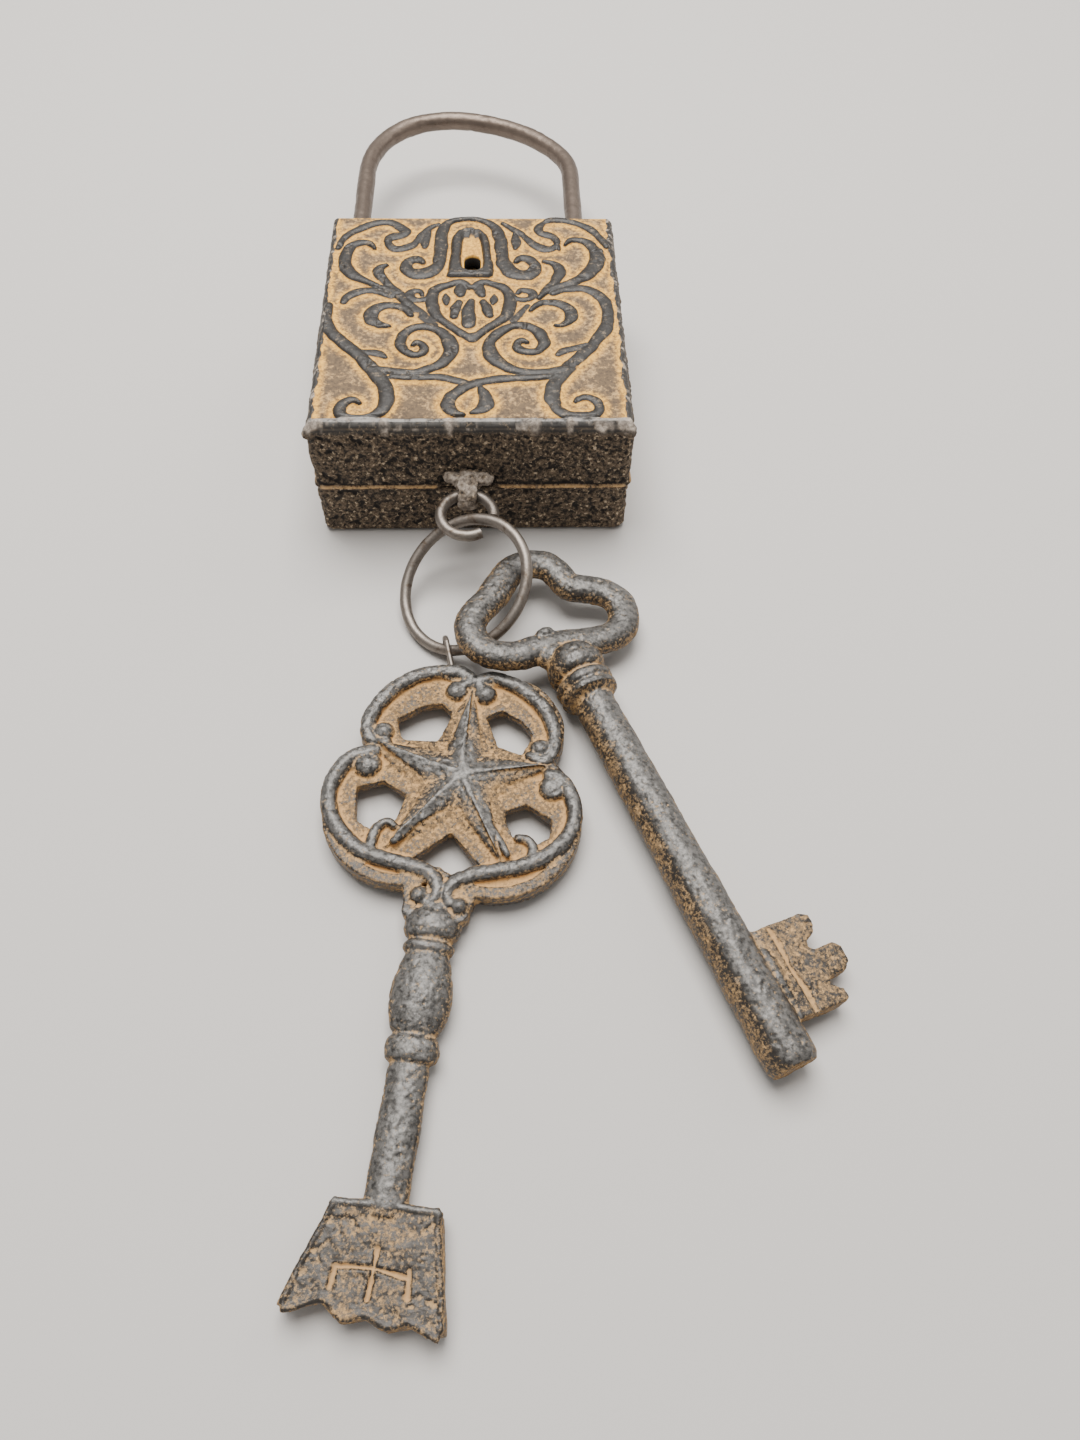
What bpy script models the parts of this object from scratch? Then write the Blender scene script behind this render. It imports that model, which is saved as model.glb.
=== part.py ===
"""A cast-iron decorative padlock with its lock work, its two key rings and its two keys.

The lock lies on its back. The origin is the centre of the case's back face, +Z runs up
through the case to the ornamented plate, and +Y runs along the case towards the shackle.
Sizes below are in millimetres, and every mesh is written in metres.
"""

import bpy
import bmesh
from math import cos, pi, radians, sin
from mathutils import Euler, Matrix, Vector

MM = 0.001
GAP = 0.3

# Case
CASE_HALF_WIDTH = 40.0
CASE_HALF_LENGTH = 44.0
PLATE_GROUND = 34.8
RELIEF_TOP = 35.8
PARTING = 15.5
WALL = 3.5
PLATE_UNDERSIDE = 31.4
FLOOR_TOP = 3.0

# Shackle
ROD_RADIUS = 2.75
LEG_SPACING = 66.0
LEG_CENTRE_X = -2.2
SHACKLE_Z = 18.0
BEND_START_Y = 94.5
BOW_LEAN = 2.8
BOW_SKEW = 1.6
HEEL_END_Y = 4.0
TOE_END_Y = 28.2
LIFT = 16.5
LEG_HOLE_RADIUS = ROD_RADIUS + GAP
NOTCH_LOW_Y = 31.9
NOTCH_HIGH_Y = 36.5
NOTCH_DEPTH = 2.25

# Lock work
KEY_CENTRE = Vector((0.0, 22.9, 0.0))
KEYHOLE_RADIUS = 2.3
KEYHOLE_FOOT_Y = 20.0
CRANK_RADIUS = 5.0
CRANK_REST_ANGLE = radians(120.0)
CRANK_PIN_RADIUS = 1.1
BOLT_LOW_Y = 32.4
BOLT_HIGH_Y = 36.0
BOLT_LOW_Z = 16.2
BOLT_HIGH_Z = 19.8
BOLT_THROW = 5.0
BOLT_NOSE_X = 25.0
HEEL_PIN_RADIUS = 1.5
HEEL_PIN_Y = 25.0
POST_X = 11.0
KEEPER_X = 15.0
KEEPER_POSTS_Y = (30.2, 38.2)

# Case screws
SCREW_PLACES = ((-22.0, 22.0), (22.0, 22.0), (-30.0, -34.0), (30.0, -34.0))
SCREW_RADIUS = 1.6
SCREW_BOSS_RADIUS = 3.6

# Lug and rings
LUG = Vector((-1.4, -48.4, 17.6))
LUG_RADIUS = 3.5
LUG_HALF_WIDTH = 2.5
LUG_HOLE_RADIUS = 2.25
SMALL_WIRE = 1.4
SMALL_RING_RADIUS = 6.6
SMALL_RING_DROOP = radians(3.0)
SMALL_RING_ARC = (radians(-8.0), radians(300.0))
BIG_WIRE = 1.4
BIG_RING_HALF_WIDTH = 15.8
BIG_RING_HALF_LENGTH = 17.0
BIG_RING_CENTRE = Vector((-2.1, -71.6, 10.6))
BIG_RING_NORMAL = Vector((-0.39, -0.34, 0.855)).normalized()
EYE_WIRE = 0.6
EYE_HALF_LENGTH = 3.0
EYE_HALF_HEIGHT = 2.5
EYE_RISE = 0.25
EYE_AZIMUTH = radians(-107.0)

# Star key, in its own frame: origin at the bow's centre, shaft towards -Y
STAR_KEY_PLACE = Vector((-3.3, -122.2, 4.2))
STAR_KEY_TURN = radians(-7.7)
STAR_BOW_HALF_THICK = 2.8
STAR_LOBES = ((-8.0, 12.5, 15.0), (7.6, 12.3, 14.9), (-9.6, -9.0, 18.6), (9.6, -9.6, 18.8))
STAR_CENTRE = (0.8, -0.4)
STAR_TIPS = ((0.2, 22.5), (20.2, 4.0), (11.8, -19.6), (-12.0, -18.4), (-20.6, 6.2))
STEM_FLATNESS = 0.64

# Trefoil key, in its own frame: origin on the shaft's axis at the collars, shaft towards -Y
TREFOIL_KEY_PLACE = Vector((26.0, -100.0, 7.7))
TREFOIL_KEY_TURN = Euler((radians(1.3), radians(6.9), radians(22.4)))
TREFOIL_WIRE = 3.9
TREFOIL_FLATNESS = 0.77
TREFOIL_PATH = (
    (-0.2, 12.5), (-6.4, 13.0), (-11.5, 12.9), (-16.6, 14.9), (-19.7, 19.2), (-19.0, 24.6), (-15.3, 28.3),
    (-11.3, 30.7), (-6.7, 34.5), (-2.7, 37.6), (2.4, 38.4), (6.8, 36.4), (8.3, 32.6), (9.3, 28.8),
    (13.0, 26.7), (17.3, 23.9), (19.2, 19.8), (17.5, 14.3), (13.3, 11.4), (7.1, 11.2),
)

# Colours: base colour, metallic, roughness
FINISHES = {
    "aged_casting": ((0.20, 0.13, 0.075), 0.35, 0.75),
    "shackle_bronze": ((0.16, 0.115, 0.085), 0.75, 0.42),
    "bare_steel": ((0.33, 0.31, 0.29), 0.9, 0.4),
    "brass_works": ((0.45, 0.33, 0.14), 0.9, 0.45),
    "spring_steel": ((0.25, 0.27, 0.30), 0.95, 0.35),
    "key_black": ((0.075, 0.065, 0.055), 0.45, 0.5),
}


# Small geometry helpers

def circle(centre, radius, z, sides):
    """The points of a circle in the plane at height z."""
    return [
        Vector((centre[0] + radius * cos(2 * pi * i / sides),
                centre[1] + radius * sin(2 * pi * i / sides), z))
        for i in range(sides)
    ]


def rounded_rectangle(half_x, half_y, radius, z, steps=4):
    """A rectangle about the origin at height z, with round corners."""
    points = []
    for corner, (sign_x, sign_y) in enumerate(((1, 1), (-1, 1), (-1, -1), (1, -1))):
        for step in range(steps + 1):
            angle = pi / 2 * (corner + step / steps)
            points.append(Vector((
                sign_x * (half_x - radius) + radius * cos(angle),
                sign_y * (half_y - radius) + radius * sin(angle), z)))
    return points


def slot_outline(x, low_y, high_y, radius, z, steps=8):
    """A keyhole-like slot: two half circles about (x, low_y) and (x, high_y), joined."""
    points = []
    for start, y in ((0.0, high_y), (pi, low_y)):
        for step in range(steps + 1):
            angle = start + pi * step / steps
            points.append(Vector((x + radius * cos(angle), y + radius * sin(angle), z)))
    return points


def smooth_path(points, steps, cyclic):
    """Points along a Catmull-Rom curve through the given points."""
    count = len(points)
    path = []
    for i in range(count if cyclic else count - 1):
        around = [
            points[(i + k) % count] if cyclic else points[min(max(i + k, 0), count - 1)]
            for k in (-1, 0, 1, 2)
        ]
        for step in range(steps):
            t = step / steps
            path.append(0.5 * (
                2 * around[1] + (around[2] - around[0]) * t
                + (2 * around[0] - 5 * around[1] + 4 * around[2] - around[3]) * t ** 2
                + (3 * around[1] - around[0] - 3 * around[2] + around[3]) * t ** 3))
    if not cyclic:
        path.append(points[-1].copy())
    return path


def loft(name, rings, cyclic=False):
    """A closed solid skinned over rings of points, capped at both ends unless cyclic."""
    mesh = bpy.data.meshes.new(name)
    bm = bmesh.new()
    loops = [[bm.verts.new(point * MM) for point in ring] for ring in rings]
    pairs = list(zip(loops, loops[1:]))
    if cyclic:
        pairs.append((loops[-1], loops[0]))
    sides = len(rings[0])
    for lower, upper in pairs:
        for i in range(sides):
            k = (i + 1) % sides
            bm.faces.new((lower[i], lower[k], upper[k], upper[i]))
    if not cyclic:
        bm.faces.new(list(reversed(loops[0])))
        bm.faces.new(loops[-1])
    bmesh.ops.recalc_face_normals(bm, faces=bm.faces)
    bm.to_mesh(mesh)
    bm.free()
    obj = bpy.data.objects.new(name, mesh)
    bpy.context.scene.collection.objects.link(obj)
    return obj


def prism(name, outline, low, high):
    """An outline in the XY plane, extruded from low to high."""
    return loft(name, [[Vector((p[0], p[1], z)) for p in outline] for z in (low, high)])


def box(name, low, high):
    """A block between two corners."""
    outline = ((low[0], low[1]), (high[0], low[1]), (high[0], high[1]), (low[0], high[1]))
    return prism(name, outline, low[2], high[2])


def turned(name, place, axis, profile, sides=20, closed=False, flatness=1.0):
    """A solid of revolution about axis through place; the profile holds (radius, along)."""
    axis = Vector(axis).normalized()
    across = Vector((0, 0, 1)) if abs(axis.z) < 0.9 else Vector((1, 0, 0))
    side = axis.cross(across).normalized()
    rings = [
        [
            place + axis * along
            + side * (radius * cos(2 * pi * i / sides))
            + across * (radius * flatness * sin(2 * pi * i / sides))
            for i in range(sides)
        ]
        for radius, along in profile
    ]
    return loft(name, rings, cyclic=closed)


def rod(name, low, high, radius, sides=20):
    """A plain round bar between two points."""
    axis = high - low
    return turned(name, low, axis, ((radius, 0.0), (radius, axis.length)), sides)


def tube(name, path, radius, sides=12, cyclic=False):
    """A round bar along a path, with its cross-section carried along without twist."""
    count = len(path)
    tangents = []
    for i in range(count):
        before = path[i - 1] if cyclic or i > 0 else path[i]
        after = path[(i + 1) % count] if cyclic or i < count - 1 else path[i]
        tangents.append((after - before).normalized())
    normal = tangents[0].orthogonal().normalized()
    rings = []
    for point, tangent in zip(path, tangents):
        normal = (normal - tangent * normal.dot(tangent)).normalized()
        binormal = tangent.cross(normal)
        rings.append([
            point + normal * (radius * cos(2 * pi * i / sides))
            + binormal * (radius * sin(2 * pi * i / sides))
            for i in range(sides)
        ])
    if not cyclic:
        for end, inward in ((0, 1), (-1, -1)):
            tip = tangents[end] * (-inward * radius * 0.3)
            cap = [path[end] + tip + (p - path[end]) * 0.7 for p in rings[end]]
            rings.insert(0 if end == 0 else len(rings), cap)
    return loft(name, rings, cyclic)


def combine(target, tool, operation):
    """Joins a tool to the target, or cuts it away, and then removes the tool."""
    modifier = target.modifiers.new(tool.name, "BOOLEAN")
    modifier.operation = operation
    modifier.solver = "EXACT"
    modifier.object = tool
    evaluated = target.evaluated_get(bpy.context.evaluated_depsgraph_get())
    joined = bpy.data.meshes.new_from_object(evaluated)
    target.modifiers.clear()
    target.data = joined
    bpy.data.objects.remove(tool)
    return target


def cut(target, *tools):
    for tool in tools:
        combine(target, tool, "DIFFERENCE")
    return target


def join(target, *tools):
    for tool in tools:
        combine(target, tool, "UNION")
    return target


def finish(obj, finish_name, smooth_angle=35.0):
    """Gives the piece its own material and its shading."""
    colour, metallic, roughness = FINISHES[finish_name]
    material = bpy.data.materials.new(obj.name + "_" + finish_name)
    material.use_nodes = True
    shader = material.node_tree.nodes["Principled BSDF"]
    shader.inputs["Base Color"].default_value = (*colour, 1.0)
    shader.inputs["Metallic"].default_value = metallic
    shader.inputs["Roughness"].default_value = roughness
    obj.data.materials.clear()
    obj.data.materials.append(material)
    obj.data.shade_smooth()
    obj.data.set_sharp_from_angle(angle=radians(smooth_angle))
    return obj


def pivot(name, place, *pieces):
    """An empty on a joint's axis, which carries the pieces that move about it."""
    empty = bpy.data.objects.new(name, None)
    empty.location = place * MM
    bpy.context.scene.collection.objects.link(empty)
    offset = Matrix.Translation(place * MM).inverted()
    for piece in pieces:
        piece.parent = empty
        piece.matrix_parent_inverse = offset
    return empty


# Case

def leg_x(side):
    """The x of a shackle leg: side -1 is the heel, which stays in, and +1 the toe."""
    return LEG_CENTRE_X + side * LEG_SPACING / 2


def leg_holes():
    """Cutters for the two holes and the heel's channel, which both halves share."""
    top = CASE_HALF_LENGTH + 2
    return [
        rod("heel_channel", Vector((leg_x(-1), HEEL_END_Y - 0.6, SHACKLE_Z)),
            Vector((leg_x(-1), top, SHACKLE_Z)), LEG_HOLE_RADIUS, 24),
        rod("toe_hole", Vector((leg_x(1), TOE_END_Y - 1, SHACKLE_Z)),
            Vector((leg_x(1), top, SHACKLE_Z)), LEG_HOLE_RADIUS, 24),
    ]


def cavity(low, high):
    """The hollow inside one half of the case."""
    half_x = CASE_HALF_WIDTH - WALL
    half_y = CASE_HALF_LENGTH - WALL
    return loft("cavity", [rounded_rectangle(half_x, half_y, 3.0, z) for z in (low, high)])


def boss(name, place, radius, low, high, sides=16):
    """A round post or boss along Z."""
    return rod(name, Vector((*place, low)), Vector((*place, high)), radius, sides)


def front_case():
    """The front half: ornamented plate, side walls, posts, lug and keyhole."""
    low = PARTING + GAP / 2
    wide, long = CASE_HALF_WIDTH, CASE_HALF_LENGTH
    shell = loft("front_case", [
        rounded_rectangle(wide, long, 2.5, low),
        rounded_rectangle(wide - 0.2, long - 0.1, 1.6, 32.9),
        rounded_rectangle(wide - 0.6, long - 0.2, 1.2, 34.3),
        rounded_rectangle(wide - 1.3, long - 0.6, 0.8, PLATE_GROUND),
    ])
    cut(shell, cavity(low - 1, PLATE_UNDERSIDE))
    inside = PLATE_UNDERSIDE + 0.5
    for x, y in SCREW_PLACES:
        join(shell, boss("screw_boss", (x, y), SCREW_BOSS_RADIUS, low, inside))
    for side in (-1, 1):
        join(shell, boss("cam_post", (side * POST_X, KEY_CENTRE.y), 2.2, 14.8, inside))
    shelf_low = (KEEPER_X - 2.6, KEEPER_POSTS_Y[0], BOLT_HIGH_Z + GAP)
    shelf_high = (KEEPER_X + 2.6, KEEPER_POSTS_Y[1], inside)
    join(shell, box("bolt_shelf", shelf_low, shelf_high))
    for y in KEEPER_POSTS_Y:
        join(shell, boss("keeper_post", (KEEPER_X, y), 1.7, 15.6, inside - 0.1))
    join(shell, boss("heel_pin_boss", (leg_x(-1) + 3.3, HEEL_PIN_Y), 3.0, 22.0, inside))
    wall_y = CASE_HALF_LENGTH - WALL
    join(shell, box("spring_block", (-25.0, 37.9, low + 0.2), (-19.0, wall_y + 1, 20.4)))
    arch = [Vector((x, y, 0)) for x, y in ((-6.8, 16.0), (6.8, 16.0), (5.6, 22.0), (5.4, 33.0))]
    arch += [Vector((5.4 * cos(a), 33.0 + 5.4 * sin(a), 0)) for a in
             (pi * k / 8 for k in range(1, 8))]
    arch += [Vector((-5.4, 33.0, 0)), Vector((-5.6, 22.0, 0))]
    join(shell, prism("keyhole_arch", arch, 33.8, RELIEF_TOP - 0.2))
    rim_y = -CASE_HALF_LENGTH + 2.1
    join(shell, rod("foot_rim", Vector((-39.0, rim_y, 34.4)), Vector((39.0, rim_y, 34.4)), 1.3, 12))
    lug_side = Vector((LUG_HALF_WIDTH, 0, 0))
    join(shell,
         box("lug_web", (LUG.x - 2.4, LUG.y, low + 0.1), (LUG.x + 2.4, -CASE_HALF_LENGTH + 1, 21.2)),
         rod("lug_eye", LUG - lug_side, LUG + lug_side, LUG_RADIUS, 20),
         box("lug_bridge", (LUG.x - 7.2, -45.2, 18.9), (LUG.x + 7.2, -CASE_HALF_LENGTH + 1, 21.0)))
    cut(shell, rod("lug_hole", LUG - lug_side * 2, LUG + lug_side * 2, LUG_HOLE_RADIUS, 20))
    cut(shell, loft("keyhole", [
        slot_outline(0.0, KEYHOLE_FOOT_Y, KEY_CENTRE.y, KEYHOLE_RADIUS, z)
        for z in (PLATE_UNDERSIDE - 1, RELIEF_TOP + 1)
    ]))
    cut(shell, *leg_holes())
    for x, y in SCREW_PLACES:
        cut(shell, boss("screw_bore", (x, y), SCREW_RADIUS + GAP, low - 1, 28.0, 14))
    for side in (-1, 1):
        cut(shell, boss("post_bore", (side * POST_X, KEY_CENTRE.y), 1.2, 13.8, 23.5, 10))
    for y in KEEPER_POSTS_Y:
        cut(shell, boss("post_bore", (KEEPER_X, y), 1.0, 14.6, 22.5, 10))
    cut(shell, boss("pin_socket", (leg_x(-1) + 3.3, HEEL_PIN_Y), HEEL_PIN_RADIUS + GAP, 21.0, 29.0))
    cut(shell, rod("spring_bore", Vector((-22.0, 37.0, 18.0)), Vector((-22.0, 40.9, 18.0)), 1.2, 10))
    return finish(shell, "aged_casting")


def back_case():
    """The back half: floor, side walls, screw bosses and the heel pin's boss."""
    high = PARTING - GAP / 2
    wide, long = CASE_HALF_WIDTH, CASE_HALF_LENGTH
    shell = loft("back_case", [
        rounded_rectangle(wide - 1.3, long - 1.3, 2.0, 0.0),
        rounded_rectangle(wide - 0.5, long - 0.5, 2.4, 0.5),
        rounded_rectangle(wide - 0.1, long - 0.1, 2.6, 1.6),
        rounded_rectangle(wide, long, 2.5, high),
    ])
    cut(shell, cavity(FLOOR_TOP, high + 1))
    below = FLOOR_TOP - 0.5
    for x, y in SCREW_PLACES:
        join(shell, boss("screw_boss", (x, y), SCREW_BOSS_RADIUS + 0.6, below, high))
    join(shell, boss("heel_pin_boss", (leg_x(-1) + 3.3, HEEL_PIN_Y), 3.0, below, 13.7))
    cut(shell, *leg_holes())
    for x, y in SCREW_PLACES:
        cut(shell, turned("countersink", Vector((x, y, 0)), (0, 0, 1),
                          ((3.8, -1.0), (3.8, 1.1), (1.9, 3.2), (1.9, high + 1)), 20))
    cut(shell, boss("pin_socket", (leg_x(-1) + 3.3, HEEL_PIN_Y), HEEL_PIN_RADIUS + GAP, 3.4, 14.5))
    return finish(shell, "aged_casting")


def case_screw(number, place):
    """A countersunk slotted screw, driven in from the back."""
    name = f"case_screw_{number}"
    profile = ((3.3, 0.35), (3.5, 0.6), (3.5, 1.1), (SCREW_RADIUS, 3.0), (SCREW_RADIUS, 26.5), (1.0, 27.4))
    screw = turned(name, Vector((*place, 0)), (0, 0, 1), profile, 20)
    cut(screw, box("screw_slot", (place[0] - 4, place[1] - 0.5, 0), (place[0] + 4, place[1] + 0.5, 1.1)))
    return finish(screw, "bare_steel")


# Shackle and lock work

def shackle():
    """A bent rod, its bow leaning a little to the left, with a grooved heel and a notched toe."""
    radius = LEG_SPACING / 2
    path = [Vector((leg_x(1), y, SHACKLE_Z)) for y in (TOE_END_Y + 0.8, 60.0)]
    for step in range(25):
        angle = pi * step / 24
        lean = BOW_LEAN * sin(angle) ** 2
        skew = BOW_SKEW * sin(2 * angle)
        path.append(Vector((LEG_CENTRE_X + radius * cos(angle) - lean,
                            BEND_START_Y + radius * sin(angle) - skew, SHACKLE_Z)))
    path += [Vector((leg_x(-1), y, SHACKLE_Z)) for y in (60.0, HEEL_END_Y + 0.8)]
    bar = tube("shackle", path, ROD_RADIUS, 16)
    notch_floor = leg_x(1) - ROD_RADIUS + NOTCH_DEPTH
    cut(bar, box("notch", (leg_x(1) - 4, NOTCH_LOW_Y, 14), (notch_floor, NOTCH_HIGH_Y, 22)))
    groove_floor = leg_x(-1) + 3.3 - HEEL_PIN_RADIUS - GAP
    groove_high = HEEL_PIN_Y + HEEL_PIN_RADIUS + GAP
    groove_low = HEEL_PIN_Y - HEEL_PIN_RADIUS - GAP - LIFT
    cut(bar, box("groove", (groove_floor, groove_low, 14), (leg_x(-1) + 4, groove_high, 22)))
    return finish(bar, "shackle_bronze")


def heel_pin():
    """The cross pin that keeps the heel leg in the case."""
    place = (leg_x(-1) + 3.3, HEEL_PIN_Y)
    return finish(boss("heel_pin", place, HEEL_PIN_RADIUS, 3.7, 28.6, 16), "bare_steel")


def crank_place(z=0.0):
    return KEY_CENTRE + Vector((CRANK_RADIUS * cos(CRANK_REST_ANGLE),
                                CRANK_RADIUS * sin(CRANK_REST_ANGLE), z))


def lock_bolt():
    """The sliding bolt: a bar with a nose, two detent notches and a fork for the crank pin."""
    bolt = box("lock_bolt", (-10.0, BOLT_LOW_Y, BOLT_LOW_Z), (BOLT_NOSE_X, BOLT_HIGH_Y, BOLT_HIGH_Z))
    pin_x = crank_place().x
    join(bolt, box("tail", (pin_x - 3.9, 25.2, BOLT_LOW_Z), (pin_x + 3.9, BOLT_LOW_Y + 1, BOLT_HIGH_Z)))
    half_slot = CRANK_PIN_RADIUS + GAP
    cut(bolt, box("fork", (pin_x - half_slot, 24.0, 15), (pin_x + half_slot, 29.5, 21)))
    for x in (-4.0, -4.0 - BOLT_THROW):
        outline = ((x - 1.3, BOLT_HIGH_Y + 0.5), (x, BOLT_HIGH_Y - 1.0), (x + 1.3, BOLT_HIGH_Y + 0.5))
        cut(bolt, prism("detent", outline, 15, 21))
    return finish(bolt, "brass_works")


def key_cam():
    """The cam that the key turns: hub with a blind keyway, disc and lower journal."""
    profile = ((1.9, 12.0), (1.9, 20.6), (7.0, 20.6), (7.0, 22.6), (4.4, 22.6), (4.4, 30.6))
    cam = turned("key_cam", KEY_CENTRE, (0, 0, 1), profile, 28)
    keyway = [slot_outline(0.0, KEYHOLE_FOOT_Y - 1, KEY_CENTRE.y, KEYHOLE_RADIUS, z) for z in (22.6, 32.0)]
    cut(cam, loft("keyway", keyway))
    place = crank_place()
    cut(cam, boss("pin_hole", (place.x, place.y), CRANK_PIN_RADIUS + GAP, 20.0, 23.0, 12))
    return finish(cam, "brass_works")


def cam_pin():
    """The crank pin that drives the bolt's fork."""
    place = crank_place()
    return finish(boss("cam_pin", (place.x, place.y), CRANK_PIN_RADIUS, 15.7, 22.4, 14), "bare_steel")


def cam_plate():
    """The bridge plate that carries the cam's lower journal."""
    outline = [Vector((p.y - KEY_CENTRE.y, p.x + KEY_CENTRE.y, 0)) for p in
               slot_outline(0.0, KEY_CENTRE.y - POST_X, KEY_CENTRE.y + POST_X, 3.4, 0.0)]
    plate = prism("cam_plate", outline, 12.5, 14.5)
    for x, radius in ((0.0, 1.9 + GAP), (-POST_X, 1.3), (POST_X, 1.3)):
        cut(plate, boss("plate_hole", (x, KEY_CENTRE.y), radius, 12, 15, 14))
    return finish(plate, "brass_works")


def small_screw(name, place, top, head_radius=2.1):
    """A small slotted cheese-head screw pointing up, with its head under a plate at top."""
    profile = ((head_radius, top - 1.3), (head_radius, top - GAP), (0.8, top - GAP), (0.8, top + 9.0))
    screw = turned(name, Vector((*place, 0)), (0, 0, 1), profile, 14)
    low = (place[0] - 3, place[1] - 0.3, top - 2)
    high = (place[0] + 3, place[1] + 0.3, top - 0.8)
    return finish(cut(screw, box("screw_slot", low, high)), "bare_steel")


def bolt_keeper():
    """The strap that holds the bolt up against its shelf."""
    low = (KEEPER_X - 2.8, KEEPER_POSTS_Y[0] - 2.3, 13.3)
    high = (KEEPER_X + 2.8, KEEPER_POSTS_Y[1] + 2.0, 15.3)
    keeper = box("bolt_keeper", low, high)
    for y in KEEPER_POSTS_Y:
        cut(keeper, boss("keeper_hole", (KEEPER_X, y), 1.2, 13, 16, 12))
    return finish(keeper, "brass_works")


def detent_spring():
    """A leaf spring whose tip drops into the bolt's detent notches."""
    outline = ((-25.5, 37.6), (-25.5, 37.0), (-5.2, 37.0), (-4.0, 36.25), (-2.8, 37.0), (-2.4, 37.6))
    spring = prism("detent_spring", outline, 16.6, 19.4)
    cut(spring, rod("spring_hole", Vector((-22, 36, 18)), Vector((-22, 38.5, 18)), 1.1, 12))
    return finish(spring, "spring_steel")


def spring_screw():
    """The screw that holds the leaf spring to its block."""
    profile = ((1.0, 34.6), (1.9, 34.9), (1.9, 36.7), (0.8, 36.7), (0.8, 40.5))
    screw = turned("spring_screw", Vector((-22.0, 0, 18.0)), (0, 1, 0), profile, 14)
    return finish(screw, "bare_steel")


def ward_ring():
    """The fixed ward round the keyhole, under the plate."""
    profile = ((5.4, 28.2), (6.6, 28.2), (6.6, 30.7), (5.4, 30.7))
    return finish(turned("ward_ring", KEY_CENTRE, (0, 0, 1), profile, 24, closed=True), "brass_works")


# Rings and keys

def ring_points(centre, first, second, angles):
    """Points of an ellipse about centre; first and second are its half axes."""
    return [centre + first * cos(a) + second * sin(a) for a in angles]


def small_ring():
    """The open wire ring in the case's lug."""
    inward = Vector((0, -cos(SMALL_RING_DROOP), -sin(SMALL_RING_DROOP)))
    start, end = SMALL_RING_ARC
    angles = [start + (end - start) * k / 36 for k in range(37)]
    centre = LUG + inward * SMALL_RING_RADIUS
    path = ring_points(centre, Vector((SMALL_RING_RADIUS, 0, 0)), -inward * SMALL_RING_RADIUS, angles)
    return finish(tube("small_ring", path, SMALL_WIRE, 12), "bare_steel")


def big_ring_axes():
    """The big ring's half axes: one level, one up the slope of its plane."""
    level = Vector((0, 0, 1)).cross(BIG_RING_NORMAL).normalized()
    uphill = BIG_RING_NORMAL.cross(level)
    return level * BIG_RING_HALF_WIDTH, uphill * BIG_RING_HALF_LENGTH


def big_ring_point(azimuth):
    """The point of the big ring's wire that lies in a compass direction from its centre."""
    flat = Vector((cos(azimuth), sin(azimuth), 0))
    slope = (BIG_RING_NORMAL.x * flat.x + BIG_RING_NORMAL.y * flat.y) / BIG_RING_NORMAL.z
    ray = Vector((flat.x, flat.y, -slope))
    level, uphill = big_ring_axes()
    reach = (ray.dot(level) / level.length_squared) ** 2 + (ray.dot(uphill) / uphill.length_squared) ** 2
    return BIG_RING_CENTRE + ray / reach ** 0.5


def big_ring():
    """The closed wire ring that both keys hang on."""
    angles = [2 * pi * k / 48 for k in range(48)]
    path = ring_points(BIG_RING_CENTRE, *big_ring_axes(), angles)
    return finish(tube("big_ring", path, BIG_WIRE, 10, cyclic=True), "bare_steel")


def star_key_eye():
    """The wire staple that links the star key to the big ring."""
    centre = big_ring_point(EYE_AZIMUTH)
    turn = Matrix.Rotation(STAR_KEY_TURN, 3, "Z")
    foot = STAR_KEY_PLACE + turn @ Vector((-5.4, 28.1, 0.0))
    along = (centre - foot).normalized()
    up = (Vector((0, 0, 1)) - along * along.z).normalized()
    arc = [radians(-115.0 + 230.0 * k / 14) for k in range(15)]
    path = ring_points(centre + up * EYE_RISE, along * EYE_HALF_LENGTH, up * EYE_HALF_HEIGHT, arc)
    feet = [foot + up * (side * 0.95) for side in (-1, 1)]
    path = [feet[0], *path, feet[1]]
    return finish(tube("star_key_eye", path, EYE_WIRE, 8), "bare_steel")


def star_outline(reach, waist):
    """The five-pointed star, clockwise from the upper tip, with its waist points between."""
    centre = Vector((*STAR_CENTRE, 0))
    tips = [Vector((*tip, 0)) - centre for tip in STAR_TIPS]
    points = []
    for tip, following in zip(tips, tips[1:] + tips[:1]):
        points.append(centre + tip * reach)
        points.append(centre + (tip.normalized() + following.normalized()).normalized() * waist)
    return points


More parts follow.
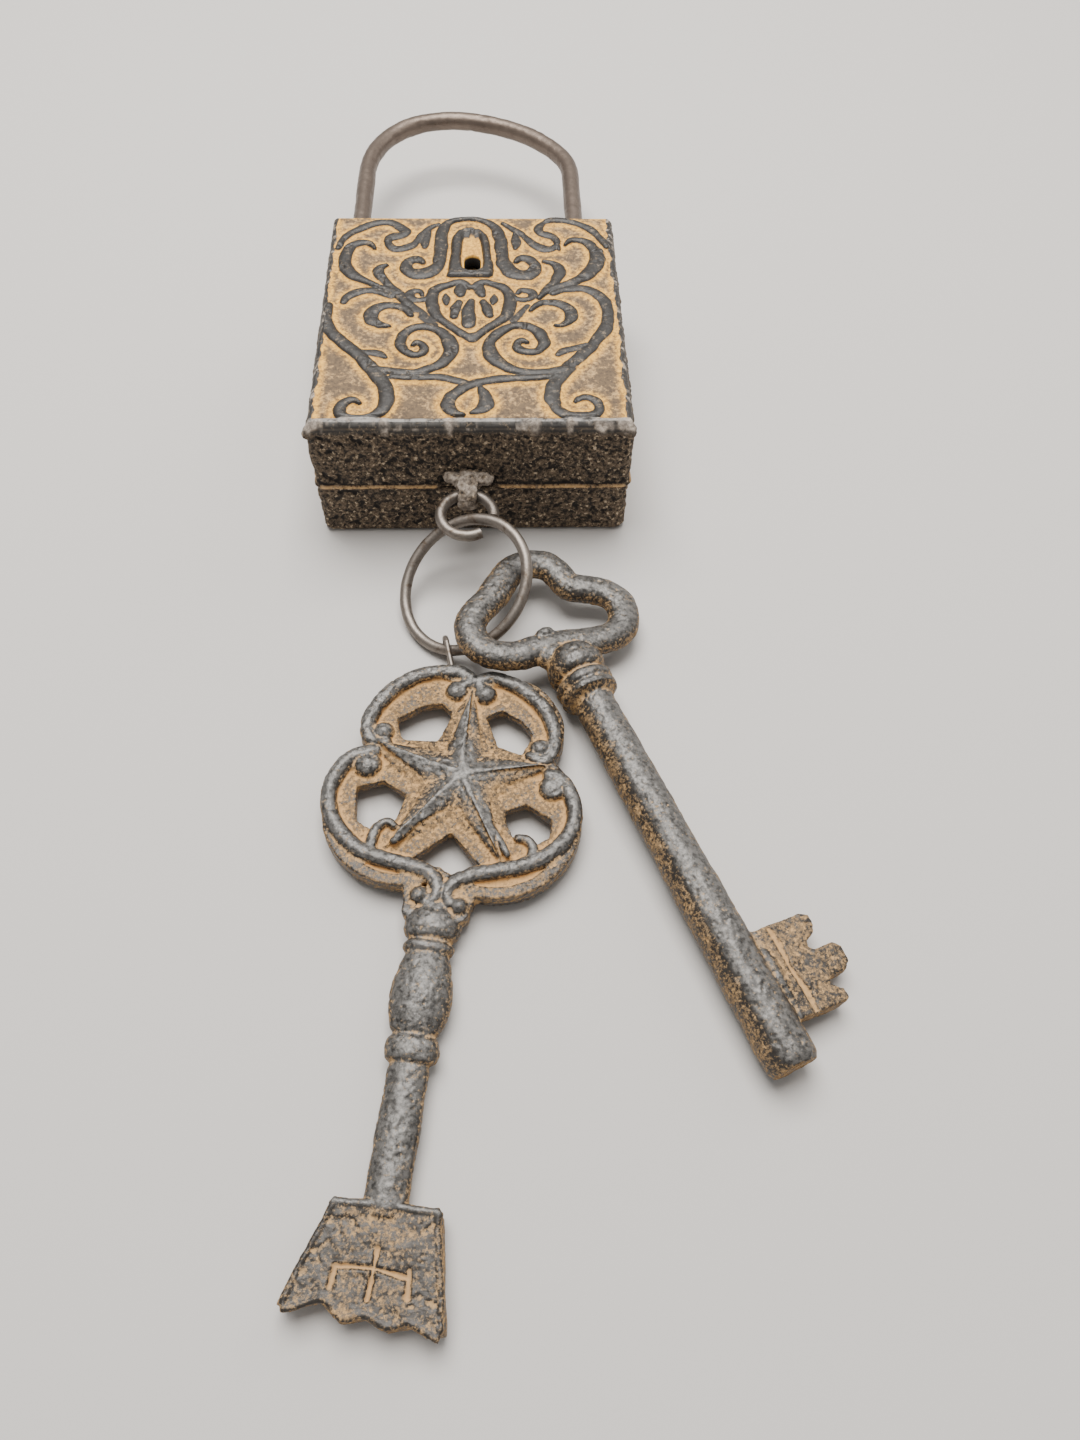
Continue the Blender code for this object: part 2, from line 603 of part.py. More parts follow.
def star_key():
    """The star key: pierced bow with a ridged star, turned stem and trapezoid bit."""
    thick = STAR_BOW_HALF_THICK
    bow = prism("star_key", circle(STAR_LOBES[0], STAR_LOBES[0][2], 0, 36), -thick, thick)
    for lobe in STAR_LOBES[1:]:
        join(bow, prism("lobe", circle(lobe, lobe[2], 0, 36), -thick, thick))
    openings = (
        ((-6.5, 18.6), (-3.8, 16.4), (-4.4, 5.9), (-11.5, 6.6), (-14.3, 8.6), (-16.0, 13.0), (-11.0, 17.2)),
        ((4.3, 16.0), (7.6, 18.2), (12.5, 15.8), (15.3, 12.6), (14.2, 8.8), (13.2, 5.8), (6.4, 6.0)),
        ((-21.6, -5.4), (-16.0, -3.2), (-9.6, -6.6), (-12.6, -14.2), (-16.0, -15.3), (-20.3, -13.4)),
        ((10.4, -8.0), (16.0, -5.5), (22.0, -8.6), (21.6, -12.8), (18.0, -15.5), (14.4, -14.0)),
        ((0.6, -14.0), (-6.9, -21.2), (-3.4, -23.0), (0.8, -26.4), (4.8, -22.9), (8.4, -21.6)),
    )
    for outline in openings:
        cut(bow, prism("opening", outline, -thick - 1, thick + 1))
    base = star_outline(1.0, 8.6)
    ridge = star_outline(0.85, 0.6)
    star = loft("star", [[p + Vector((0, 0, z)) for p in ring]
                         for ring, z in ((base, -1.0), (base, thick - 0.6), (ridge, thick + 1.4))])
    join(bow, star)
    stem_profile = (
        (7.0, 27.5), (7.2, 31.0), (5.6, 33.0), (5.6, 37.0), (4.6, 38.2), (5.6, 39.5), (4.9, 41.0),
        (6.2, 47.0), (6.2, 51.0), (4.6, 57.0), (5.3, 59.0), (5.3, 61.5), (4.1, 63.5), (4.0, 88.0),
    )
    join(bow, turned("stem", Vector((0, 0, 0)), (0, -1, 0), stem_profile, 16, flatness=STEM_FLATNESS))
    bit_outline = (
        (-8.4, -86.6), (9.2, -86.6), (10.4, -88.0), (13.9, -105.8), (8.0, -105.2), (4.0, -106.0),
        (0.0, -104.6), (-4.0, -105.6), (-8.0, -103.0), (-12.0, -104.2), (-15.4, -104.0), (-9.8, -88.2),
    )
    join(bow, prism("bit", bit_outline, -2.6, 2.6))
    bow.location = STAR_KEY_PLACE * MM
    bow.rotation_euler = (0, 0, STAR_KEY_TURN)
    return finish(bow, "key_black")


def trefoil_key():
    """The trefoil key: round-section three-lobed bow, collars, shaft and toothed bit."""
    path = smooth_path([Vector((x, y, 0)) for x, y in TREFOIL_PATH], 3, True)
    key = tube("trefoil_key", path, TREFOIL_WIRE, 12, cyclic=True)
    for vertex in key.data.vertices:
        vertex.co.z *= TREFOIL_FLATNESS
    shaft_profile = (
        (3.0, -14.5), (5.6, -11.0), (7.0, -7.0), (7.2, -4.0), (6.0, -1.6), (7.0, 0.0), (6.8, 2.0),
        (5.0, 4.0), (4.9, 8.0), (5.0, 40.0), (5.3, 70.0), (5.4, 92.5), (4.4, 94.5),
    )
    join(key, turned("shaft", Vector((0, 0, 0)), (0, -1, 0), shaft_profile, 16))
    bit_outline = (
        (0.0, -67.4), (17.0, -67.8), (18.6, -69.6), (17.6, -72.2), (15.0, -73.4), (15.4, -75.6), (20.0, -75.4),
        (21.4, -77.0), (21.0, -80.6), (15.2, -81.6), (15.6, -84.0), (17.2, -85.0), (16.6, -87.0), (0.0, -86.6),
    )
    join(key, prism("bit", bit_outline, -2.2, 2.2))
    key.location = TREFOIL_KEY_PLACE * MM
    key.rotation_euler = TREFOIL_KEY_TURN
    return finish(key, "key_black")


def main():
    for obj in list(bpy.data.objects):
        bpy.data.objects.remove(obj)
    front_case()
    back_case()
    heel_pin()
    cam_plate()
    bolt_keeper()
    detent_spring()
    spring_screw()
    ward_ring()
    for number, place in enumerate(SCREW_PLACES, 1):
        case_screw(number, place)
    for number, side in enumerate((-1, 1), 1):
        small_screw(f"cam_plate_screw_{number}", (side * POST_X, KEY_CENTRE.y), 12.5)
    for number, y in enumerate(KEEPER_POSTS_Y, 1):
        small_screw(f"keeper_screw_{number}", (KEEPER_X, y), 13.3, 1.8)
    pivot("shackle_pivot", Vector((leg_x(-1), HEEL_PIN_Y, SHACKLE_Z)), shackle())
    pivot("bolt_pivot", Vector((0, BOLT_LOW_Y, BOLT_LOW_Z)), lock_bolt())
    pivot("cam_pivot", KEY_CENTRE, key_cam(), cam_pin())
    inward = Vector((0, -cos(SMALL_RING_DROOP), -sin(SMALL_RING_DROOP)))
    pivot("small_ring_pivot", LUG, small_ring())
    pivot("big_ring_pivot", LUG + inward * 2 * SMALL_RING_RADIUS, big_ring())
    pivot("star_key_pivot", big_ring_point(EYE_AZIMUTH), star_key(), star_key_eye())
    pivot("trefoil_key_pivot", big_ring_point(radians(18.0)), trefoil_key())


main()
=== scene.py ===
"""The looks of a cast-iron decorative padlock with two key rings and two ornamental keys.

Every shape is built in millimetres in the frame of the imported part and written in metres.
The case's plate is a dense height field of scrollwork, the keys are many solids melted
into one skin, and each surface is then roughened as a sand casting is.
"""

from math import cos, pi, radians, sin, sqrt

import bmesh
import bpy
import numpy as np
from mathutils import Euler, Matrix, Vector


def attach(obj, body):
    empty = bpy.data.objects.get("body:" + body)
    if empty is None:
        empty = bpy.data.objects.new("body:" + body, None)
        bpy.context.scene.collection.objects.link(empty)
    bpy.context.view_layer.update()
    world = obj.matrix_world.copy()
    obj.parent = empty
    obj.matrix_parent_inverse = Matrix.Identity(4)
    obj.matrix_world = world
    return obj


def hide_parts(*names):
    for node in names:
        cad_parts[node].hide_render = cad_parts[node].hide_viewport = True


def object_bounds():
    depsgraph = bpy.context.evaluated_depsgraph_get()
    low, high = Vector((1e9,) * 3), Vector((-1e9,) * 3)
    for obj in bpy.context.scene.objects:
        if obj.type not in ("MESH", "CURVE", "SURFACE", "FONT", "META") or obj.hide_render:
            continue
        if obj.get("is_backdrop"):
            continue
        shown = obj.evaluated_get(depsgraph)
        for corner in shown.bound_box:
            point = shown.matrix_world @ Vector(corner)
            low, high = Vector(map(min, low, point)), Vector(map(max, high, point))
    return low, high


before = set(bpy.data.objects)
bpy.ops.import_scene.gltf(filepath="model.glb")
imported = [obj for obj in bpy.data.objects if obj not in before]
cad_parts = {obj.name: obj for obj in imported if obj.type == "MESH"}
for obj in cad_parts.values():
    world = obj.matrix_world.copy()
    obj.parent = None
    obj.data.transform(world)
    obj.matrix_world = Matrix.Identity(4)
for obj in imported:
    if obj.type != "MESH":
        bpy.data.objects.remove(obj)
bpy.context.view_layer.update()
MM = 0.001

# The part's own dimensions, in millimetres
HALF_WIDTH = 40.0
HALF_LENGTH = 44.0
CORNER_RADIUS = 2.5
PLATE = 34.8
PARTING = 15.5
RIDGE_TOP = 16.6
GAP = 0.3
OUTER_SKIN = 1.6
PUSH_OUT = 3.0
KEYHOLE_HALF_WIDTH = 2.6
KEYHOLE_LOW_Y = 17.5
KEYHOLE_HIGH_Y = 25.5
ROD_RADIUS = 2.75
LEG_SPACING = 66.0
LEG_CENTRE_X = -2.2
SHACKLE_Z = 18.0
BEND_START_Y = 94.5
BOW_LEAN = 2.8
BOW_SKEW = 1.6
HEEL_END_Y = 4.0
TOE_END_Y = 28.2
NOTCH_Y = (31.9, 36.5)
NOTCH_DEPTH = 2.25
GROOVE_Y = (6.7, 26.8)
HEEL_PIN_REACH = 3.3
HEEL_PIN_RADIUS = 1.5
LUG = np.array((-1.4, -48.4, 17.6))
LUG_HOLE_RADIUS = 2.2
SMALL_WIRE = 1.4
SMALL_RING_RADIUS = 6.6
SMALL_RING_DROOP = radians(3.0)
SMALL_RING_ENDS = (-8.0, 300.0)
BIG_WIRE = 1.4
BIG_HALF_WIDTH = 15.8
BIG_HALF_LENGTH = 17.0
BIG_CENTRE = np.array((-2.1, -71.6, 10.6))
BIG_NORMAL = np.array((-0.39, -0.34, 0.855))
EYE_WIRE = 0.7
EYE_HALF_LENGTH = 3.0
EYE_HALF_HEIGHT = 2.5
EYE_RISE = 0.25
EYE_AZIMUTH = radians(-107.0)
EYE_FOOT = Vector((-5.4, 28.1, 0.0))
EYE_FOOT_HALF_GAP = 0.95
STAR_PLACE = Vector((-3.3, -122.2, 4.2))
STAR_TURN = radians(-7.7)
TREFOIL_PLACE = Vector((26.0, -100.0, 7.7))
TREFOIL_TURN = Euler((radians(1.3), radians(6.9), radians(22.4)))


# Numbers

def unit(vector):
    return vector / np.linalg.norm(vector)


def smoothstep(low, high, value):
    t = np.clip((value - low) / (high - low), 0.0, 1.0)
    return t * t * (3.0 - 2.0 * t)


def lattice(points, cell, seed):
    """Smooth random values from -1 to 1 at points (N, 3), varying over about one cell."""
    scaled = points / cell + seed * 17.13
    base = np.floor(scaled).astype(np.int64)
    part = scaled - base
    ease = part ** 3 * (part * (part * 6 - 15) + 10)
    total = np.zeros(len(points))
    for corner in range(8):
        step = np.array((corner & 1, corner >> 1 & 1, corner >> 2 & 1))
        at = base + step
        mixed = at[:, 0] * 374761393 + at[:, 1] * 668265263 + at[:, 2] * 974634777 + seed * 1013
        mixed = (mixed ^ (mixed >> 13)) * 1274126177 & 0xFFFFFFFF
        mixed = mixed ^ (mixed >> 16)
        share = np.prod(np.where(step, ease, 1.0 - ease), axis=1)
        total += share * ((mixed & 0xFFFF) / 65535.0)
    return total * 2.0 - 1.0


def turbulence(points, cell, octaves, seed, gain=0.55):
    """Several octaves of lattice noise, each on turned axes so that no grid shows."""
    turn = np.array(((0.64, 0.60, -0.48), (-0.768, 0.48, -0.424), (-0.024, 0.64, 0.768)))
    total = np.zeros(len(points))
    size = 1.0
    for octave in range(octaves):
        points = points @ turn
        total += size * lattice(points, cell, seed + octave)
        cell *= 0.5
        size *= gain
    return total


def level_points(x, y):
    """Points (N, 3) at height zero, to look noise up at."""
    return np.stack((x, y, 0 * x), 1)


def catmull(points, steps, cyclic=False):
    """Points along a smooth curve through rows of numbers, which may hold widths too."""
    rows = np.array(points, float)
    count = len(rows)
    spans = count if cyclic else count - 1
    index = np.arange(spans)[:, None] + np.arange(-1, 3)[None]
    index = index % count if cyclic else np.clip(index, 0, count - 1)
    p = rows[index]
    t = (np.arange(steps) / steps)[None, :, None]
    path = 0.5 * (2 * p[:, 1:2] + (p[:, 2:3] - p[:, 0:1]) * t
                  + (2 * p[:, 0:1] - 5 * p[:, 1:2] + 4 * p[:, 2:3] - p[:, 3:4]) * t ** 2
                  + (3 * p[:, 1:2] - p[:, 0:1] - 3 * p[:, 2:3] + p[:, 3:4]) * t ** 3)
    path = path.reshape(-1, rows.shape[1])
    return path if cyclic else np.vstack((path, rows[-1]))


# Meshes

def add_object(name, mesh):
    obj = bpy.data.objects.new(name, mesh)
    bpy.context.scene.collection.objects.link(obj)
    return obj


def add_bmesh(name, bm):
    """A new object from a finished bmesh, which is freed."""
    mesh = bpy.data.meshes.new(name)
    bm.to_mesh(mesh)
    bm.free()
    return add_object(name, mesh)


def quad_object(name, points, quads, polygons=()):
    """A mesh from an array of points, an array of four-sided faces and a few larger ones."""
    mesh = bpy.data.meshes.new(name)
    sizes = [4] * len(quads) + [len(p) for p in polygons]
    corners = np.concatenate([np.asarray(quads).ravel(), *[np.asarray(p) for p in polygons]])
    mesh.vertices.add(len(points))
    mesh.vertices.foreach_set("co", np.asarray(points, np.float32).ravel())
    mesh.loops.add(len(corners))
    mesh.loops.foreach_set("vertex_index", corners.astype(np.int32))
    mesh.polygons.add(len(sizes))
    starts = np.concatenate(((0,), np.cumsum(sizes)[:-1])).astype(np.int32)
    mesh.polygons.foreach_set("loop_start", starts)
    mesh.update(calc_edges=True)
    mesh.validate()
    return add_object(name, mesh)


def coordinates(obj):
    """The object's points in millimetres."""
    flat = np.empty(len(obj.data.vertices) * 3, np.float32)
    obj.data.vertices.foreach_get("co", flat)
    return flat.reshape(-1, 3).astype(float) / MM


def set_coordinates(obj, points):
    obj.data.vertices.foreach_set("co", np.asarray(points * MM, np.float32).ravel())
    obj.data.update()


def normals(obj):
    flat = np.empty(len(obj.data.vertices) * 3, np.float32)
    obj.data.vertex_normals.foreach_get("vector", flat)
    return flat.reshape(-1, 3).astype(float)


def edges_of(obj):
    flat = np.empty(len(obj.data.edges) * 2, np.int32)
    obj.data.edges.foreach_get("vertices", flat)
    return flat.reshape(-1, 2)


def blur(points, edges, rounds, share=0.5):
    """Each point moves towards the mean of its neighbours, rounds times."""
    points = points.copy()
    count = len(points)
    first, second = edges[:, 0], edges[:, 1]
    degree = np.bincount(first, minlength=count) + np.bincount(second, minlength=count)
    degree = np.maximum(degree, 1)
    for _ in range(rounds):
        for axis in range(3):
            column = points[:, axis]
            total = (np.bincount(first, column[second], count)
                     + np.bincount(second, column[first], count))
            points[:, axis] = column + share * (total / degree - column)
    return points


def store(obj, name, values):
    """Keeps one number for each point, for a material to read."""
    attribute = obj.data.attributes.new(name, "FLOAT", "POINT")
    attribute.data.foreach_set("value", np.asarray(values, np.float32))


def store_hollows(obj, rounds):
    """Stores how far each point lies below its blurred surface, from -1 to 1 mm."""
    points = coordinates(obj)
    smooth = blur(points, edges_of(obj), rounds)
    depth = np.einsum("ij,ij->i", smooth - points, normals(obj))
    store(obj, "hollow", np.clip(depth, -1, 1))


def bake(obj):
    """Applies an object's modifiers to its mesh."""
    evaluated = obj.evaluated_get(bpy.context.evaluated_depsgraph_get())
    mesh = bpy.data.meshes.new_from_object(evaluated)
    obj.modifiers.clear()
    old = obj.data
    obj.data = mesh
    bpy.data.meshes.remove(old)


def boolean(target, tool, operation):
    """Cuts, joins or crosses two closed solids, and removes the second."""
    modifier = target.modifiers.new("solid", "BOOLEAN")
    modifier.operation = operation
    modifier.solver = "MANIFOLD"
    modifier.object = tool
    bake(target)
    bpy.data.objects.remove(tool)
    return target


def melt(pieces, name, voxel):
    """Joins overlapping closed solids into one skin of even small faces."""
    bm = bmesh.new()
    for piece in pieces:
        bm.from_mesh(piece.data)
        bpy.data.objects.remove(piece)
    obj = add_bmesh(name, bm)
    modifier = obj.modifiers.new("melt", "REMESH")
    modifier.mode = "VOXEL"
    modifier.voxel_size = voxel * MM
    bake(obj)
    return obj


def soften(obj, rounds):
    set_coordinates(obj, blur(coordinates(obj), edges_of(obj), rounds))
    return obj


def displace(obj, amounts, along=(1.0, 1.0, 1.0)):
    """Moves each point along its normal by an amount in millimetres, on the axes that along keeps."""
    moves = normals(obj) * along * np.asarray(amounts)[:, None]
    set_coordinates(obj, coordinates(obj) + moves)
    return obj


def loft(name, rings, cyclic=False):
    """A closed solid over rings of points in millimetres, capped unless cyclic."""
    rings = np.array(rings, float)
    count, sides = rings.shape[:2]
    row = np.arange(count if cyclic else count - 1)[:, None] * sides
    following = (np.arange(count if cyclic else count - 1)[:, None] + 1) % count * sides
    side = np.arange(sides)[None]
    next_side = (side + 1) % sides
    quads = np.stack((row + side, row + next_side, following + next_side, following + side), -1)
    caps = () if cyclic else (np.arange(sides)[::-1], np.arange(sides) + (count - 1) * sides)
    obj = quad_object(name, rings.reshape(-1, 3) * MM, quads.reshape(-1, 4), caps)
    bm = bmesh.new()
    bm.from_mesh(obj.data)
    bmesh.ops.recalc_face_normals(bm, faces=bm.faces)
    bm.to_mesh(obj.data)
    bm.free()
    return obj


def prism(name, outline, low, high):
    return loft(name, [[(x, y, z) for x, y in outline] for z in (low, high)])


def block(name, low, high):
    outline = ((low[0], low[1]), (high[0], low[1]), (high[0], high[1]), (low[0], high[1]))
    return prism(name, outline, low[2], high[2])


def circle(sides):
    """The cosines and sines of a full turn, as two columns."""
    angles = 2 * pi * np.arange(sides) / sides
    return np.cos(angles)[:, None], np.sin(angles)[:, None]


def tube(name, path, radii, sides=16, cyclic=False, flatness=1.0, tip=0.5):
    """A round bar along a path, with a radius at each point and rounded ends."""
    path = np.array(path, float)
    radii = np.broadcast_to(np.asarray(radii, float), len(path))
    if cyclic:
        tangents = np.roll(path, -1, 0) - np.roll(path, 1, 0)
    else:
        tangents = np.gradient(path, axis=0)
    tangents /= np.linalg.norm(tangents, axis=1)[:, None]
    normal = np.cross(tangents[0], (0.0, 0.0, 1.0))
    cosines, sines = circle(sides)
    rings = []
    for point, tangent, radius in zip(path, tangents, radii):
        normal = unit(normal - tangent * normal.dot(tangent))
        ring = radius * (cosines * normal + sines * np.cross(tangent, normal))
        ring[:, 2] *= flatness
        rings.append(point + ring)
    if not cyclic:
        for end, sign in ((0, -1.0), (-1, 1.0)):
            bulge = [
                path[end] + (rings[end] - path[end]) * cos(a)
                + tangents[end] * sign * radii[end] * tip * sin(a)
                for a in (radians(35.0), radians(62.0), radians(84.0))
            ]
            rings = [*reversed(bulge), *rings] if end == 0 else [*rings, *bulge]
    return loft(name, rings, cyclic)


def turned(name, place, axis, profile, sides=32, flatness=1.0):
    """A solid of revolution from (radius, along) pairs, squeezed across Z by flatness."""
    axis = np.array(axis, float)
    up = np.array((0.0, 0.0, 1.0))
    side = unit(np.cross(axis, up))
    cosines, sines = circle(sides)
    rings = [
        np.array(place) + axis * along + radius * (cosines * side + flatness * sines * up)
        for radius, along in profile
    ]
    return loft(name, rings)


def lump(name, centre, radii):
    """A closed rounded lump with three half axes."""
    bm = bmesh.new()
    bmesh.ops.create_icosphere(bm, subdivisions=3, radius=1.0)
    for vertex in bm.verts:
        vertex.co = (vertex.co * Vector(radii) + Vector(centre)) * MM
    return add_bmesh(name, bm)


def cad_copy(node):
    """A closed copy of a CAD node's mesh, to shape further."""
    obj = add_object(node + "_copy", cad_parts[node].data.copy())
    bm = bmesh.new()
    bm.from_mesh(obj.data)
    bmesh.ops.remove_doubles(bm, verts=bm.verts, dist=2e-6)
    bmesh.ops.recalc_face_normals(bm, faces=bm.faces)
    bm.to_mesh(obj.data)
    bm.free()
    obj.data.materials.clear()
    return obj


def place_piece(obj, name, body, material, replaced, smooth=180.0):
    """Names a finished piece, gives it its material and shading, and puts it on its body."""
    obj.name = name
    obj.data.name = name
    obj.data.materials.clear()
    obj.data.materials.append(material)
    obj.data.shade_smooth()
    if smooth < 180.0:
        obj.data.set_sharp_from_angle(angle=radians(smooth))
    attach(obj, body)
    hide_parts(replaced)


# Materials

def grey(value):
    """A grey colour, or a roughness on a colour socket."""
    return (value, value, value)


class Shade:
    """A material under construction, with short calls for the nodes that it needs."""

    def __init__(self, name, metallic):
        self.material = bpy.data.materials.new(name)
        self.material.use_nodes = True
        self.tree = self.material.node_tree
        self.shader = self.tree.nodes["Principled BSDF"]
        self.shader.inputs["Metallic"].default_value = metallic
        self.place = self.node("ShaderNodeTexCoord").outputs["Object"]

    def node(self, kind, **settings):
        made = self.tree.nodes.new(kind)
        for key, value in settings.items():
            setattr(made, key, value)
        return made

    def feed(self, socket, value):
        if isinstance(value, bpy.types.NodeSocket):
            self.tree.links.new(value, socket)
        elif isinstance(value, tuple):
            socket.default_value = (*value, 1.0)
        else:
            socket.default_value = value

    def noise(self, size, detail=3.0, rough=0.6, warp=0.0):
        """Noise from 0 to 1 whose features are about size millimetres across."""
        made = self.node("ShaderNodeTexNoise")
        self.feed(made.inputs["Vector"], self.place)
        self.feed(made.inputs["Scale"], 1.0 / (size * MM))
        self.feed(made.inputs["Detail"], detail)
        self.feed(made.inputs["Roughness"], rough)
        self.feed(made.inputs["Distortion"], warp)
        return made.outputs["Fac"]

    def attribute(self, name):
        return self.node("ShaderNodeAttribute", attribute_name=name).outputs["Fac"]

    def maths(self, operation, first, second):
        made = self.node("ShaderNodeMath", operation=operation)
        self.feed(made.inputs[0], first)
        self.feed(made.inputs[1], second)
        return made.outputs[0]

    def add(self, first, second):
        return self.maths("ADD", first, second)

    def subtract(self, first, second):
        return self.maths("SUBTRACT", first, second)

    def times(self, first, second):
        return self.maths("MULTIPLY", first, second)

    def between(self, value, low, high):
        """0 below low, 1 above high and smooth between."""
        made = self.node("ShaderNodeMapRange", interpolation_type="SMOOTHSTEP")
        self.feed(made.inputs["Value"], value)
        self.feed(made.inputs["From Min"], low)
        self.feed(made.inputs["From Max"], high)
        return made.outputs["Result"]

    def scaled(self, value, low, high):
        """Maps 0..1 to low..high."""
        made = self.node("ShaderNodeMapRange")
        self.feed(made.inputs["Value"], value)
        self.feed(made.inputs["To Min"], low)
        self.feed(made.inputs["To Max"], high)
        return made.outputs["Result"]

    def mix(self, share, first, second):
        made = self.node("ShaderNodeMix", data_type="RGBA")
        self.feed(made.inputs[0], share)
        self.feed(made.inputs[6], first)
        self.feed(made.inputs[7], second)
        return made.outputs[2]

    def finish(self, colour, rough, height, strength, distance):
        """Links the colour, the roughness and a bump whose depth is in millimetres."""
        made = self.node("ShaderNodeBump")
        self.feed(made.inputs["Strength"], strength)
        self.feed(made.inputs["Distance"], distance * MM)
        self.feed(made.inputs["Height"], height)
        self.feed(self.shader.inputs["Normal"], made.outputs["Normal"])
        self.feed(self.shader.inputs["Base Color"], colour)
        self.feed(self.shader.inputs["Roughness"], rough)
        return self.material


# The scrollwork: strokes of (x, y, half width) along their middle lines, with a height

